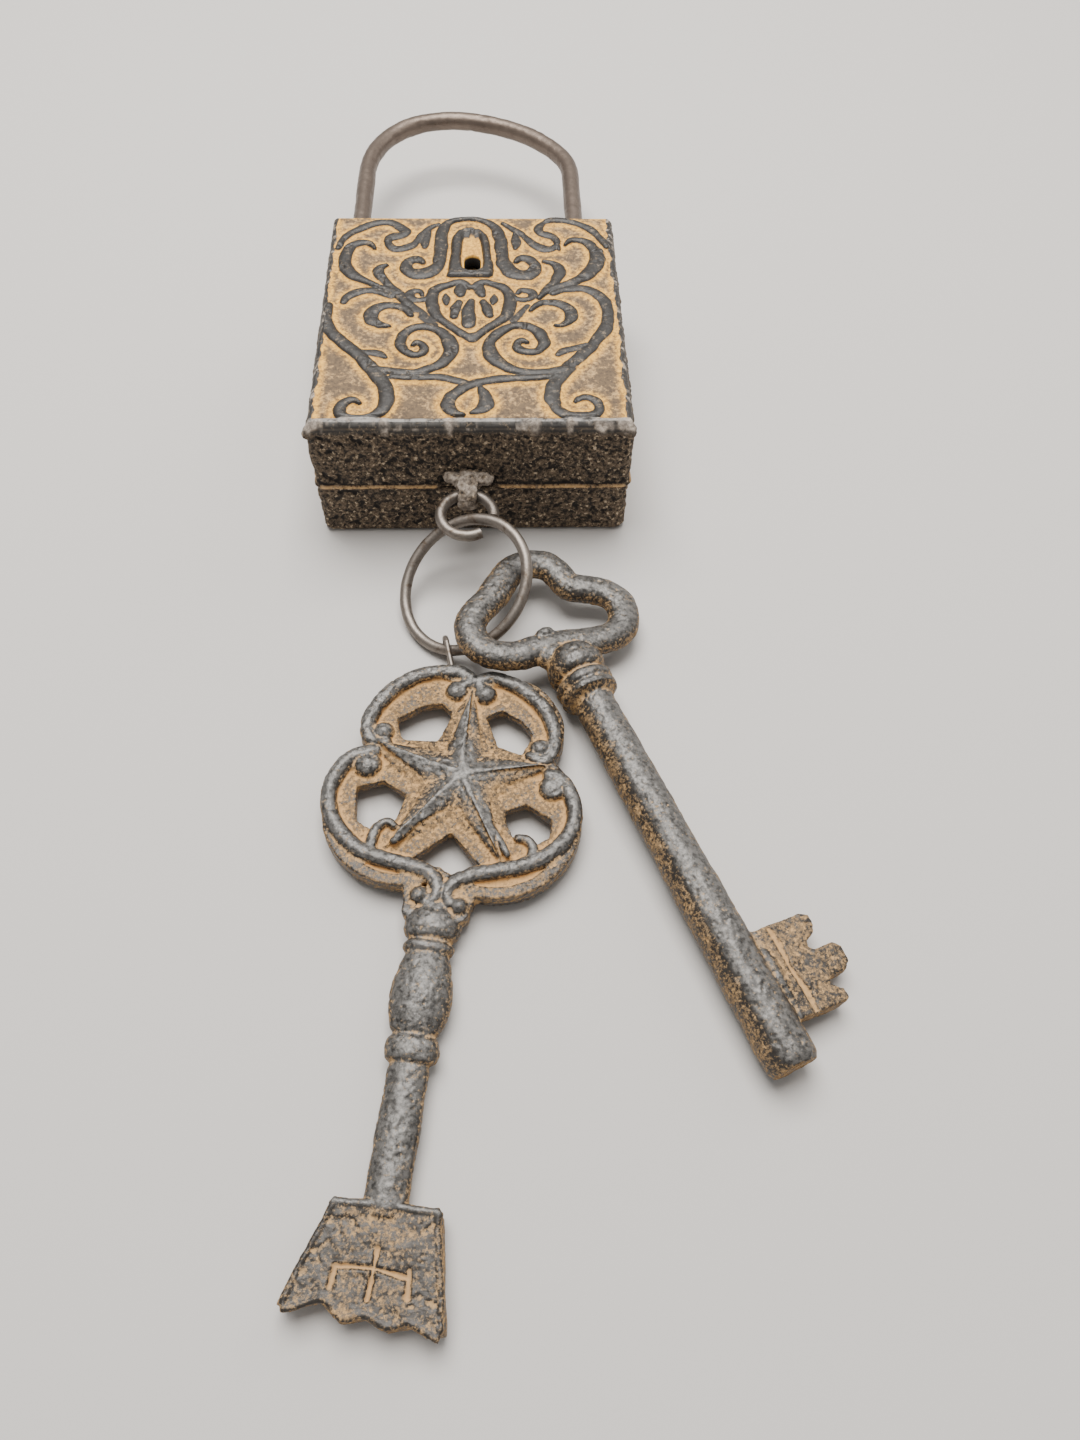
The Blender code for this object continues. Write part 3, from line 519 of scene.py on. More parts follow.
LEFT_SCROLLS = (
    (1.0, ((-3.2, 42.2, .7), (-5.4, 41.6, .9), (-7.4, 40.0, 1.2), (-8.5, 36.5, 1.6), (-8.7, 30.2, 1.7),
           (-8.9, 25.2, 1.7), (-9.3, 21.3, 1.8), (-10.8, 18.7, 2.1), (-12.9, 17.3, 2.2), (-15.0, 16.9, 2.2),
           (-17.0, 18.0, 1.8), (-17.9, 20.2, 1.5), (-17.4, 22.4, 1.4), (-15.6, 23.7, 1.3),
           (-14.1, 23.1, 1.1), (-13.4, 21.9, .5))),
    (.8, ((-9.6, 39.8, .5), (-12.0, 38.1, .8), (-13.6, 35.9, .9), (-14.7, 34.0, .9), (-15.6, 32.0, .9),
          (-17.0, 29.9, 1.3), (-19.2, 28.5, 1.5), (-21.2, 28.3, 1.4), (-22.8, 29.7, 1.1),
          (-23.5, 31.6, .8))),
    (.7, ((-12.2, 37.4, .5), (-13.0, 34.6, 1.2), (-13.1, 32.0, 1.3), (-13.2, 29.2, .5))),
    (.9, ((-36.9, 28.6, .7), (-36.3, 31.0, .9), (-35.3, 33.8, 1.0), (-33.2, 36.4, 1.1), (-30.4, 38.6, 1.2),
          (-27.4, 40.3, 1.2), (-24.4, 40.9, 1.2), (-21.9, 40.1, 1.3), (-20.0, 38.4, 1.5),
          (-18.9, 36.6, 1.6), (-19.4, 35.1, 1.5), (-21.4, 34.4, 1.6), (-23.0, 33.5, 1.2),
          (-23.6, 31.8, .8))),
    (1.0, ((-26.8, 28.2, .3), (-27.9, 30.2, .8), (-29.2, 31.2, 1.0), (-31.3, 31.0, 1.2), (-33.1, 29.8, 1.4),
           (-34.1, 27.7, 1.5), (-34.6, 25.2, 1.6), (-34.6, 22.2, 1.7), (-33.9, 19.3, 1.8),
           (-32.4, 17.0, 1.8), (-30.4, 15.1, 1.4), (-28.0, 13.6, 1.0), (-25.7, 12.1, .9),
           (-23.6, 10.7, .9), (-21.2, 9.5, 1.0), (-19.5, 7.6, 1.1), (-17.9, 5.6, 1.1), (-16.6, 3.9, 1.2))),
    (.9, ((-23.3, 20.7, .4), (-24.9, 19.6, 1.0), (-25.3, 17.6, 1.4), (-24.3, 15.2, 1.3), (-22.8, 13.0, 1.1),
          (-21.1, 11.0, 1.0), (-19.2, 9.0, .9), (-17.8, 6.4, .7))),
    (.8, ((-13.1, 7.8, .4), (-13.6, 9.3, .7), (-15.2, 9.8, 1.0), (-16.5, 8.7, 1.2), (-16.3, 6.8, 1.2),
          (-14.5, 5.7, .9), (-12.4, 6.1, .9), (-11.0, 7.4, 1.0))),
    (1.0, ((-0.7, 11.2, .8), (-2.0, 12.6, 1.0), (-3.8, 13.3, 1.0), (-6.1, 12.4, 1.1), (-8.4, 11.3, 1.3),
           (-10.1, 9.6, 1.5), (-10.7, 7.5, 1.6), (-10.7, 5.0, 1.6), (-10.2, 2.6, 1.6), (-9.1, -.6, 1.4),
           (-7.4, -3.0, 1.2), (-5.3, -5.2, 1.1), (-3.4, -7.3, 1.0), (-1.4, -9.1, 1.2), (0.2, -9.7, 1.6))),
    (.9, ((-2.9, 11.6, 1.0), (-3.1, 10.0, 1.6), (-2.9, 8.2, 1.0))),
    (.7, ((-7.0, 8.2, .3), (-6.8, 6.2, 1.0), (-6.7, 4.0, .3))),
    (.9, ((-3.4, 4.7, .9), (-4.3, 2.2, 1.3), (-4.7, -.9, 1.0))),
    (.9, ((-0.2, 5.4, .8), (-0.8, 2.5, 1.4), (-0.9, -1.0, 1.8), (-0.8, -4.2, 1.7))),
    (.8, ((-33.6, 4.8, .8), (-33.1, 6.7, 1.1), (-31.2, 8.7, 1.3), (-28.8, 9.8, 1.3), (-26.3, 9.9, 1.2),
          (-23.9, 9.0, 1.0), (-21.3, 7.3, .7))),
    (.9, ((-15.8, -.6, .7), (-17.3, 1.8, 1.0), (-19.5, 3.1, 1.1), (-22.3, 3.5, 1.3), (-24.9, 2.3, 1.6),
          (-26.2, .0, 1.9), (-25.8, -2.6, 1.7), (-24.0, -4.4, 1.2), (-21.2, -5.1, .3))),
    (.5, ((-16.9, 4.6, 1.1), (-14.4, 1.5, 1.6), (-12.2, -1.6, 1.6), (-9.8, -4.6, 1.4))),
    (1.0, ((-37.4, 3.6, .8), (-37.6, .6, 1.1), (-37.5, -2.6, 1.3), (-36.7, -5.6, 1.5), (-35.3, -8.2, 1.7),
           (-33.2, -10.9, 1.6), (-31.0, -13.4, 1.5), (-28.8, -15.7, 1.6), (-26.7, -18.6, 1.7),
           (-24.9, -21.2, 1.9), (-23.3, -23.5, 1.9), (-22.1, -26.0, 1.8), (-21.0, -28.6, 1.8),
           (-20.6, -31.2, 1.8), (-20.6, -33.7, 1.8), (-21.2, -36.1, 1.6), (-22.7, -38.3, 1.4),
           (-24.9, -39.5, 1.3), (-27.3, -39.8, 1.3), (-30.0, -39.4, 1.5), (-31.5, -37.7, 1.5),
           (-31.5, -35.5, 1.3), (-30.3, -33.8, 1.1), (-28.5, -33.1, .9), (-27.0, -34.3, .4))),
    (.7, ((-28.0, -15.0, .6), (-25.6, -15.6, 1.0), (-23.2, -16.1, 1.2), (-21.5, -17.5, .3))),
    (1.0, ((-23.6, -22.0, 1.3), (-20.3, -22.7, 1.1), (-17.2, -23.2, 1.0), (-14.1, -23.2, 1.0),
           (-11.4, -22.3, 1.2), (-8.9, -20.8, 1.4), (-6.8, -18.8, 1.6), (-5.5, -16.3, 1.7),
           (-5.2, -13.7, 1.8), (-5.8, -11.0, 1.7), (-7.1, -8.5, 1.5), (-8.9, -6.5, 1.3),
           (-11.4, -5.3, 1.2), (-13.8, -5.4, 1.2), (-16.0, -6.5, 1.3), (-17.5, -8.4, 1.3),
           (-18.1, -10.7, 1.3), (-17.8, -13.1, 1.3), (-16.3, -15.2, 1.2), (-14.4, -16.2, 1.2),
           (-12.6, -15.8, 1.2), (-11.9, -14.1, 1.1), (-12.5, -12.4, 1.0), (-13.9, -11.7, .9),
           (-14.9, -12.8, .4))),
    (.8, ((-19.6, -24.7, .8), (-14.1, -25.0, .9), (-9.8, -24.7, 1.0), (-6.8, -25.0, 1.1),
          (-3.7, -26.1, 1.0), (-1.5, -26.8, .8))),
)
RIGHT_SCROLLS = (
    (1.0, ((-3.2, 42.2, .7), (-0.5, 42.5, .7), (2.4, 41.8, .8), (4.6, 40.4, 1.1), (6.1, 38.7, 1.3),
           (7.2, 35.9, 1.6), (7.7, 32.6, 1.7), (7.9, 29.7, 1.7), (8.1, 26.1, 1.7), (8.5, 22.5, 1.8),
           (9.5, 19.3, 2.1), (11.5, 17.2, 2.3), (13.8, 16.4, 2.2), (16.0, 17.5, 1.9), (16.9, 19.9, 1.6),
           (16.4, 22.4, 1.5), (14.7, 24.0, 1.4), (13.0, 24.0, 1.2), (11.9, 22.5, .5))),
    (.8, ((8.4, 40.4, .4), (9.8, 39.2, .7), (11.8, 37.1, .9), (13.8, 35.1, .9), (15.4, 32.8, 1.0),
          (17.2, 30.2, 1.3), (19.6, 28.5, 1.5), (21.8, 28.5, 1.3), (23.3, 29.9, .9), (23.9, 28.0, .3))),
    (.7, ((11.8, 35.4, .5), (12.0, 33.0, 1.2), (12.1, 30.8, 1.2), (11.8, 28.6, .4))),
    (.9, ((37.1, 29.4, .6), (36.3, 31.9, .9), (34.8, 34.9, 1.0), (33.0, 37.8, 1.1), (30.5, 39.8, 1.1),
          (27.5, 41.4, 1.1), (24.8, 42.1, 1.1), (21.9, 41.9, 1.1), (19.7, 40.4, 1.0), (18.5, 38.0, 1.1),
          (19.0, 35.8, 1.2), (20.8, 34.9, 1.5), (22.5, 33.9, 1.4), (23.3, 32.0, 1.0), (23.5, 30.4, .5))),
    (1.0, ((25.7, 30.2, .3), (27.1, 32.2, .7), (29.3, 32.5, 1.0), (31.4, 31.7, 1.2), (33.0, 29.8, 1.5),
           (34.1, 27.3, 1.8), (34.3, 24.3, 2.0), (33.7, 21.3, 2.0), (32.2, 18.4, 2.0), (30.5, 16.3, 1.8),
           (28.7, 14.5, 1.4), (26.3, 13.1, 1.3), (23.4, 11.7, 1.1), (21.0, 10.4, 1.0),
           (19.3, 8.9, .8), (17.7, 6.5, .5))),
    (.9, ((19.4, 22.6, .3), (22.0, 21.8, .9), (23.5, 19.9, 1.4), (23.8, 17.8, 1.5), (23.0, 15.4, 1.5),
          (21.9, 13.0, 1.3), (20.2, 11.0, 1.0), (18.8, 8.8, .7))),
    (.8, ((12.1, 8.6, .5), (13.0, 10.0, .8), (14.9, 9.8, 1.0), (16.2, 8.7, 1.1), (15.8, 6.8, .9),
          (14.1, 5.9, .9), (12.1, 6.1, .9), (10.6, 7.2, 1.0))),
    (1.0, ((0.4, 11.2, .8), (1.8, 12.6, 1.0), (3.5, 13.2, 1.0), (6.0, 12.3, 1.1), (8.1, 11.0, 1.3),
           (9.5, 9.1, 1.5), (10.1, 6.8, 1.6), (10.0, 3.8, 1.6), (9.1, -.8, 1.5), (7.0, -3.4, 1.2),
           (5.1, -5.0, 1.1), (3.2, -6.9, 1.0), (1.5, -8.8, 1.2), (0.2, -9.7, 1.6))),
    (.9, ((2.2, 11.4, .9), (2.1, 9.9, 1.5), (2.6, 8.1, 1.0))),
    (.7, ((5.9, 7.5, .3), (5.8, 5.8, 1.0), (5.5, 4.0, .3))),
    (.9, ((3.0, 4.8, .9), (4.0, 2.2, 1.3), (4.5, -.7, 1.0))),
    (.8, ((21.6, 8.7, .8), (23.9, 10.1, 1.1), (26.6, 10.8, 1.3), (29.6, 10.8, 1.4), (31.9, 9.6, 1.5),
          (34.0, 7.4, 1.5), (35.3, 4.7, 1.5), (35.7, 1.5, 1.5), (35.6, -2.4, 1.6), (35.0, -5.1, 1.7),
          (34.0, -7.5, 1.7), (32.5, -9.8, 1.5), (31.3, -11.9, 1.5), (30.0, -14.2, 1.5),
          (28.1, -16.7, 1.6), (26.0, -19.1, 1.7), (24.2, -21.6, 1.8), (22.6, -24.2, 1.8),
          (21.1, -26.7, 1.8), (20.2, -29.1, 1.9), (19.9, -31.5, 1.9), (20.2, -34.2, 1.8),
          (21.1, -36.5, 1.5), (22.9, -38.2, 1.4), (25.4, -38.9, 1.3), (28.1, -39.0, 1.3),
          (30.5, -38.0, 1.3), (31.4, -36.0, 1.2), (30.6, -33.8, 1.1), (28.8, -32.4, 1.0),
          (26.8, -32.6, .9), (25.6, -33.9, .4))),
    (.9, ((15.4, 1.2, .5), (16.6, 3.0, .7), (18.0, 4.3, .9), (20.0, 4.8, 1.1), (22.2, 4.7, 1.3),
          (24.1, 3.6, 1.5), (25.6, 2.0, 1.6), (26.1, .2, 1.6), (25.9, -1.6, 1.5), (25.2, -3.2, 1.2),
          (23.5, -4.5, .8), (21.7, -4.9, .3))),
    (.5, ((14.6, 3.4, .7), (12.8, .2, 1.0), (10.8, -3.0, 1.0))),
    (.7, ((29.4, -12.4, .6), (26.5, -13.8, .9), (23.7, -14.9, 1.3), (22.0, -16.4, .7))),
    (1.0, ((23.6, -22.2, 1.4), (19.2, -23.1, 1.1), (16.2, -23.4, 1.0), (13.1, -23.1, 1.1),
           (10.3, -22.0, 1.3), (7.9, -20.2, 1.6), (5.8, -17.8, 1.8), (4.8, -15.5, 1.8), (4.5, -13.1, 1.7),
           (5.0, -10.8, 1.4), (6.6, -8.2, 1.3), (8.9, -6.1, 1.2), (11.8, -5.0, 1.2), (14.8, -5.4, 1.3),
           (17.2, -7.5, 1.4), (18.4, -10.3, 1.5), (18.3, -12.8, 1.4), (17.0, -14.8, 1.2),
           (15.0, -15.4, 1.3), (12.9, -14.8, 1.3), (11.6, -13.3, 1.1), (11.8, -11.7, 1.0),
           (13.0, -11.0, .9), (14.2, -11.7, .5))),
    (.9, ((20.2, -24.8, .8), (16.2, -25.2, .9), (11.3, -25.3, 1.1), (6.7, -25.6, 1.2), (3.0, -26.5, 1.3),
          (.2, -27.6, 1.3), (-1.4, -28.4, 1.3), (-3.3, -30.2, 1.4), (-4.9, -32.2, 1.6), (-5.6, -34.4, 1.7),
          (-5.0, -36.5, 1.5), (-3.7, -37.9, 1.1), (-1.9, -38.5, .5))),
    (.8, ((2.4, -28.8, .7), (3.3, -31.2, 1.3), (3.7, -33.4, 1.8), (3.5, -35.2, 1.9), (2.1, -36.8, 1.2),
          (.2, -37.8, .4))),
)
ARCH_EDGE = (
    (-6.9, 16.0), (-6.6, 18.0), (-6.4, 22.2), (-5.9, 26.7), (-5.9, 31.1), (-5.6, 34.1), (-4.2, 36.7),
    (-1.9, 38.1), (0.0, 38.3), (2.3, 37.3), (3.9, 34.9), (4.7, 31.7), (5.0, 26.7), (5.5, 22.2),
    (5.9, 18.4), (5.6, 16.2), (4.6, 15.5), (-5.8, 15.5),
)
HOLLOW_LINE = ((-0.4, 34.6, 2.4), (-0.2, 29.0, 2.7), (-0.1, 24.0, 3.0), (0.0, 21.0, 2.9))
PATTERN_DROP = 0.8
STROKE_EXTRA = 0.3
RIM_BLOBS = ((-38.6, 3.2), (-20.6, 1.5), (-5.2, 1.3), (14.8, 3.0), (24.0, 1.0), (31.5, 1.8), (37.6, 4.2))
STROKE_WOBBLE = 0.16
FILLET_HEIGHT = 0.16
FILLET_REACH = 0.5
ARCH_HEIGHT = 1.15
HOLLOW_FLOOR = -0.3
CHIP_SHARE = 0.45
BORDER_WIDTH = 2.1
RIM_Y = -42.1
RIM_HALF_WIDTH = 1.5
RIM_BLOB_Y = -42.4
RIM_BLOB_HALF_WIDTH = 2.0
FAR = 9.0  # the most that a distance from a stroke is measured


def stroke_field(x, y, path):
    """The share across a stroke, 0 on its middle line and 1 at its edge, and the gap beyond it."""
    share = np.full(len(x), FAR)
    gap = np.full(len(x), FAR)
    reach = path[:, 2].max() + 3.0
    near = ((x > path[:, 0].min() - reach) & (x < path[:, 0].max() + reach)
            & (y > path[:, 1].min() - reach) & (y < path[:, 1].max() + reach))
    spot = np.flatnonzero(near)
    px, py = x[spot], y[spot]
    best, best_gap = np.full(len(spot), FAR), np.full(len(spot), FAR)
    for (ax, ay, aw), (bx, by, bw) in zip(path[:-1], path[1:]):
        dx, dy = bx - ax, by - ay
        t = np.clip(((px - ax) * dx + (py - ay) * dy) / max(dx * dx + dy * dy, 1e-9), 0.0, 1.0)
        distance = np.hypot(px - ax - t * dx, py - ay - t * dy)
        width = aw + t * (bw - aw)
        best = np.minimum(best, distance / width)
        best_gap = np.minimum(best_gap, distance - width)
    share[spot], gap[spot] = best, best_gap
    return share, gap


def polygon_gap(x, y, outline):
    """Signed distance to a closed outline, negative inside."""
    points = np.array(outline, float)
    gap = np.full(len(x), np.inf)
    inside = np.zeros(len(x), bool)
    for (ax, ay), (bx, by) in zip(points, np.roll(points, -1, 0)):
        dx, dy = bx - ax, by - ay
        t = np.clip(((x - ax) * dx + (y - ay) * dy) / (dx * dx + dy * dy), 0.0, 1.0)
        gap = np.minimum(gap, np.hypot(x - ax - t * dx, y - ay - t * dy))
        crosses = (ay > y) != (by > y)
        inside ^= crosses & (x < ax + (y - ay) / (by - ay if by != ay else 1e-9) * dx)
    return np.where(inside, -gap, gap)


def plate_relief(x, y):
    """Height over the plate's ground in millimetres, and the distance to the nearest relief."""
    y = y + PATTERN_DROP
    flat = level_points(x, y)
    wobble = STROKE_WOBBLE * lattice(flat, 2.6, 5)
    height = np.zeros(len(x))
    nearest = np.full(len(x), FAR)
    for tall, rows in LEFT_SCROLLS + RIGHT_SCROLLS:
        path = catmull(rows, 5)
        path[:, 2] += STROKE_EXTRA
        share, gap = stroke_field(x, y, path)
        bead = tall * np.sqrt(np.clip(1.0 - (share + wobble) ** 2, 0.0, 1.0))
        fillet = FILLET_HEIGHT * np.exp(-np.clip(gap, 0.0, FAR) / FILLET_REACH)
        height = np.maximum(height, np.maximum(bead, fillet))
        nearest = np.minimum(nearest, gap)
    arch = polygon_gap(x, y, ARCH_EDGE) - 0.15 + wobble
    height = np.maximum(height, ARCH_HEIGHT * np.sqrt(smoothstep(0.1, -1.2, arch)))
    nearest = np.minimum(nearest, arch)
    _, hollow_gap = stroke_field(x, y, catmull(HOLLOW_LINE, 5))
    floor = HOLLOW_FLOOR + 1.1 * smoothstep(29.5, 37.0, y)
    scoop = smoothstep(0.7, -0.6, hollow_gap)
    height = height * (1 - scoop) + np.minimum(height, floor) * scoop
    chipped = smoothstep(0.25, 0.75, lattice(flat, 5.0, 23)) * smoothstep(0.1, 0.6, lattice(flat, 1.4, 24))
    return height * (1 - CHIP_SHARE * chipped), nearest


def edge_border(x, y):
    """How far a place lies in the dark worn border along the plate's two sides."""
    ragged = 0.5 * turbulence(level_points(x, y), 3.0, 3, 25)
    return smoothstep(0.4, -0.4, HALF_WIDTH - np.abs(x) - BORDER_WIDTH + ragged)


def rim_blobs(x, y):
    """Flattened beads of metal along the plate's foot rim, the largest at its corners."""
    ragged = 0.3 * lattice(level_points(x, y), 1.1, 17)
    blobs = np.zeros(len(x))
    for centre, size in RIM_BLOBS:
        near = np.hypot((x - centre) / size, (y - RIM_BLOB_Y) / RIM_BLOB_HALF_WIDTH) + ragged
        blobs = np.maximum(blobs, smoothstep(1.15, 0.5, near))
    return blobs


# The case: edge profiles are rows of (inset, corner radius, height) from the face down

FRONT_GRID = (321, 353)
FRONT_EDGE = ((1.5, 0.7, PLATE), (1.15, 0.9, 34.62), (0.85, 1.1, 34.3), (0.6, 1.3, 33.9), (0.4, 1.5, 33.4),
              (0.2, 1.9, 32.8), (0.08, 2.2, 32.3))
BACK_GRID = (241, 265)
BACK_EDGE = ((1.3, 2.0, 0.0), (0.7, 2.2, -0.2), (0.35, 2.4, -0.5), (0.1, CORNER_RADIUS, -1.0))
SIDEWAYS = (1.0, 1.0, 0.0)
LUG_VOXEL = 0.28
CASE_SMOOTH = 60.0


def wall_rows(first, last, count):
    """Profile rows down a straight wall."""
    return [(0.0, CORNER_RADIUS, z) for z in np.linspace(first, last, count)]


def wall_ring(half_x, half_y, radius, across, along):
    """The points of a rectangle's edge with round corners, in step with a grid's border."""
    x = np.concatenate((across, np.full(len(along) - 2, 1.0), across[::-1], np.full(len(along) - 2, -1.0)))
    y = np.concatenate((np.full(len(across), -1.0), along[1:-1], np.full(len(across), 1.0), along[-2:0:-1]))
    return round_corners(np.stack((x * half_x, y * half_y), 1), half_x, half_y, radius)


def round_corners(points, half_x, half_y, radius):
    """Pulls the points of a filled rectangle in until its corners are round."""
    core = np.clip(points, (radius - half_x, radius - half_y), (half_x - radius, half_y - radius))
    out = points - core
    length = np.hypot(out[:, 0], out[:, 1])
    reach = np.abs(out).max(1)
    scale = np.where(length > 1e-9, reach / np.maximum(length, 1e-9), 1.0)
    return core + out * scale[:, None]


def wrapped_solid(name, grid, top, profile):
    """A closed box: a height-field lid from top(x, y) on a grid, and walls down a profile."""
    columns, rows = grid
    across = np.linspace(-1.0, 1.0, columns)
    along = np.linspace(-1.0, 1.0, rows)
    inset, radius, z = profile[0]
    half_x, half_y = HALF_WIDTH - inset, HALF_LENGTH - inset
    u, v = np.meshgrid(across, along)
    flat = round_corners(np.stack((u.ravel() * half_x, v.ravel() * half_y), 1), half_x, half_y, radius)
    lid = np.column_stack((flat, z + top(flat[:, 0], flat[:, 1])))
    index = np.arange(columns * rows).reshape(rows, columns)
    quads = [np.stack((index[:-1, :-1], index[:-1, 1:], index[1:, 1:], index[1:, :-1]), -1).reshape(-1, 4)]
    border = np.concatenate((index[0], index[1:-1, -1], index[-1, ::-1], index[-2:0:-1, 0]))
    points, upper = [lid], border
    start, count = len(lid), len(border)
    for inset, radius, z in profile[1:]:
        ring = wall_ring(HALF_WIDTH - inset, HALF_LENGTH - inset, radius, across, along)
        points.append(np.column_stack((ring, np.full(count, z))))
        lower = start + np.arange(count)
        quads.append(np.stack((upper, lower, np.roll(lower, -1), np.roll(upper, -1)), -1))
        upper, start = lower, start + count
    return quad_object(name, np.vstack(points) * MM, np.vstack(quads), [upper[::-1]])


def sideways(obj):
    """How level each point's normal is, 1 on a wall and 0 on a flat face."""
    outward = normals(obj)
    return np.hypot(outward[:, 0], outward[:, 1])


def roughen_walls(obj, low, high):
    """Sand-cast roughness on the side walls, fading out towards the given heights."""
    points = coordinates(obj)
    x, y, z = points.T
    side = sideways(obj)
    fade = smoothstep(0.3, 0.8, side) * smoothstep(low, low + 0.6, z) * smoothstep(high, high - 0.9, z)
    coarse = turbulence(points, 3.4, 2, 11, 0.6)
    grain = turbulence(points, 1.0, 3, 13, 0.7)
    pits = np.maximum(0.0, turbulence(points, 1.9, 2, 31) - 0.3)
    moved = (0.22 * coarse + 0.16 * grain - 0.6 * pits - 0.12) * fade
    foot = smoothstep(-42.0, -43.5, y) * smoothstep(0.3, 0.8, side)
    corner = smoothstep(37.6, 39.4, np.abs(x)) * smoothstep(-40.6, -42.6, y)
    ragged = 0.7 * lattice(points, 2.4, 33)
    moved += 0.55 * foot * smoothstep(32.2, 33.2, z + ragged)
    moved += 0.8 * corner * smoothstep(30.8, 32.4, z + ragged) * smoothstep(0.2, 0.6, side)
    displace(obj, moved, SIDEWAYS)


def parting_ridge(obj):
    """The raised flash line where the two castings meet, broken either side of the lug."""
    points = coordinates(obj)
    x, y, z = points.T
    across = np.abs(z - 0.5 * (PARTING + RIDGE_TOP)) / (0.5 * (RIDGE_TOP - PARTING))
    ridge = np.sqrt(np.clip(1.0 - across ** 4, 0.0, 1.0))
    ragged = 0.8 + 0.35 * lattice(points, 4.5, 71) + 0.3 * lattice(points, 1.2, 73)
    pit = smoothstep(8.5, 6.0, np.abs(x - LUG[0])) * (y < 3 - HALF_LENGTH)
    hollow = pit * smoothstep(12.5, 14.0, z) * smoothstep(20.5, 18.0, z)
    moved = 0.6 * ridge * np.clip(ragged, 0.1, 1.2) * (1.0 - pit) - 0.9 * hollow
    displace(obj, moved * smoothstep(0.4, 0.8, sideways(obj)), SIDEWAYS)


def stretched_cad(node, faces):
    """A CAD node's solid with its outer faces pushed out, so that only its hollows and holes cut."""
    obj = cad_copy(node)
    points = coordinates(obj)
    for axis, half in ((0, HALF_WIDTH), (1, HALF_LENGTH)):
        outer = np.abs(points[:, axis]) > half - OUTER_SKIN
        points[:, axis] += np.where(outer, PUSH_OUT, 0.0) * np.sign(points[:, axis])
    points[:, 2] += faces(points[:, 2])
    set_coordinates(obj, points)
    return obj


def plate_top(x, y):
    """The plate's whole surface over its ground: scrollwork, casting grain, borders and foot rim."""
    height, nearest = plate_relief(x, y)
    points = level_points(x, y)
    open_ground = smoothstep(0.2, 1.6, nearest)
    height += 0.07 * turbulence(points, 1.0, 3, 3, 0.7) * open_ground
    height += 0.04 * turbulence(points, 0.8, 2, 9) * (1 - open_ground)
    height += 0.12 * lattice(points, 9.0, 8)
    height += edge_border(x, y) * (0.22 + 0.1 * turbulence(points, 1.8, 2, 27))
    edge = np.minimum(HALF_WIDTH - np.abs(x), HALF_LENGTH - y)
    height -= 0.45 * smoothstep(2.0, 0.8, edge)
    along = level_points(x, 0 * x)
    middle = RIM_Y + 0.18 * lattice(along, 7.0, 15)
    thick = RIM_HALF_WIDTH + 0.25 * lattice(along, 3.0, 16)
    rim = np.sqrt(np.clip(1.0 - ((y - middle) / thick) ** 2, 0.0, 1.0))
    rim += rim_blobs(x, y) * (0.12 + 0.14 * turbulence(points, 1.3, 3, 18))
    ditch = 0.35 * np.exp(-((y - middle - thick - 0.1) / 0.4) ** 2)
    return np.maximum(height, rim) - ditch * (rim < 0.05)


def mark_case(obj, ridge_low, ridge_high):
    """Stores what the casting's material needs to know about each point."""
    points = coordinates(obj)
    x, y, z = points.T
    height, nearest = plate_relief(x, y)
    outside = np.maximum(np.abs(x) - HALF_WIDTH, np.abs(y) - HALF_LENGTH)
    on_top = smoothstep(33.9, 34.4, z)
    border = edge_border(x, y)
    foot = smoothstep(-40.3, -40.8, y)
    nearest = np.minimum(nearest, np.minimum(HALF_WIDTH - 2.0 - np.abs(x), HALF_LENGTH - 0.5 - y))
    upward = smoothstep(0.75, 0.95, normals(obj)[:, 2])
    speckle = turbulence(points, 1.5, 3, 35)
    lug_part = smoothstep(0.7, 1.3, -HALF_LENGTH - y) * smoothstep(9.5, 8.0, np.abs(x - LUG[0]))
    beads = rim_blobs(x, y) * smoothstep(32.0, 33.5, z) * foot
    chips = 0.7 * smoothstep(0.45, 0.7, speckle) * on_top * np.maximum(border, 0.5 * foot)
    bare = np.maximum(np.maximum(0.85 * lug_part, beads), chips)
    # Painted shade: the keyhole's shallow floor and the case's inner faces are marked to be painted near
    # black.
    hole = (np.abs(x) < KEYHOLE_HALF_WIDTH) & (y > KEYHOLE_LOW_Y) & (y < KEYHOLE_HIGH_Y) & (z < 34.42)
    within = smoothstep(-0.9, -1.6, outside) * smoothstep(34.2, 33.9, z) * (z > 1.0)
    band = smoothstep(ridge_low - 0.2, ridge_low, z) * smoothstep(ridge_high + 0.2, ridge_high - 0.1, z)
    store(obj, "top", on_top)
    store(obj, "relief", on_top * np.maximum(smoothstep(0.0, 0.62, height), border))
    store(obj, "nook", on_top * np.exp(-np.clip(nearest, 0, FAR) / 1.5))
    store(obj, "rim", np.maximum(on_top * foot, (1 - on_top) * smoothstep(33.0, 33.8, z)))
    # Painted highlight: the upward faces along the top of the foot rim, which the material paints in pale
    # grey patches.
    store(obj, "rim_highlight", upward * foot * smoothstep(34.9, 35.5, z))
    store(obj, "worn", np.clip(bare * (0.75 + 0.6 * speckle), 0, 1))
    store(obj, "inside", np.maximum(within, hole))
    store(obj, "ridge", band * smoothstep(0.0, 0.3, outside) * (1 - lug_part))
    store_hollows(obj, 20)


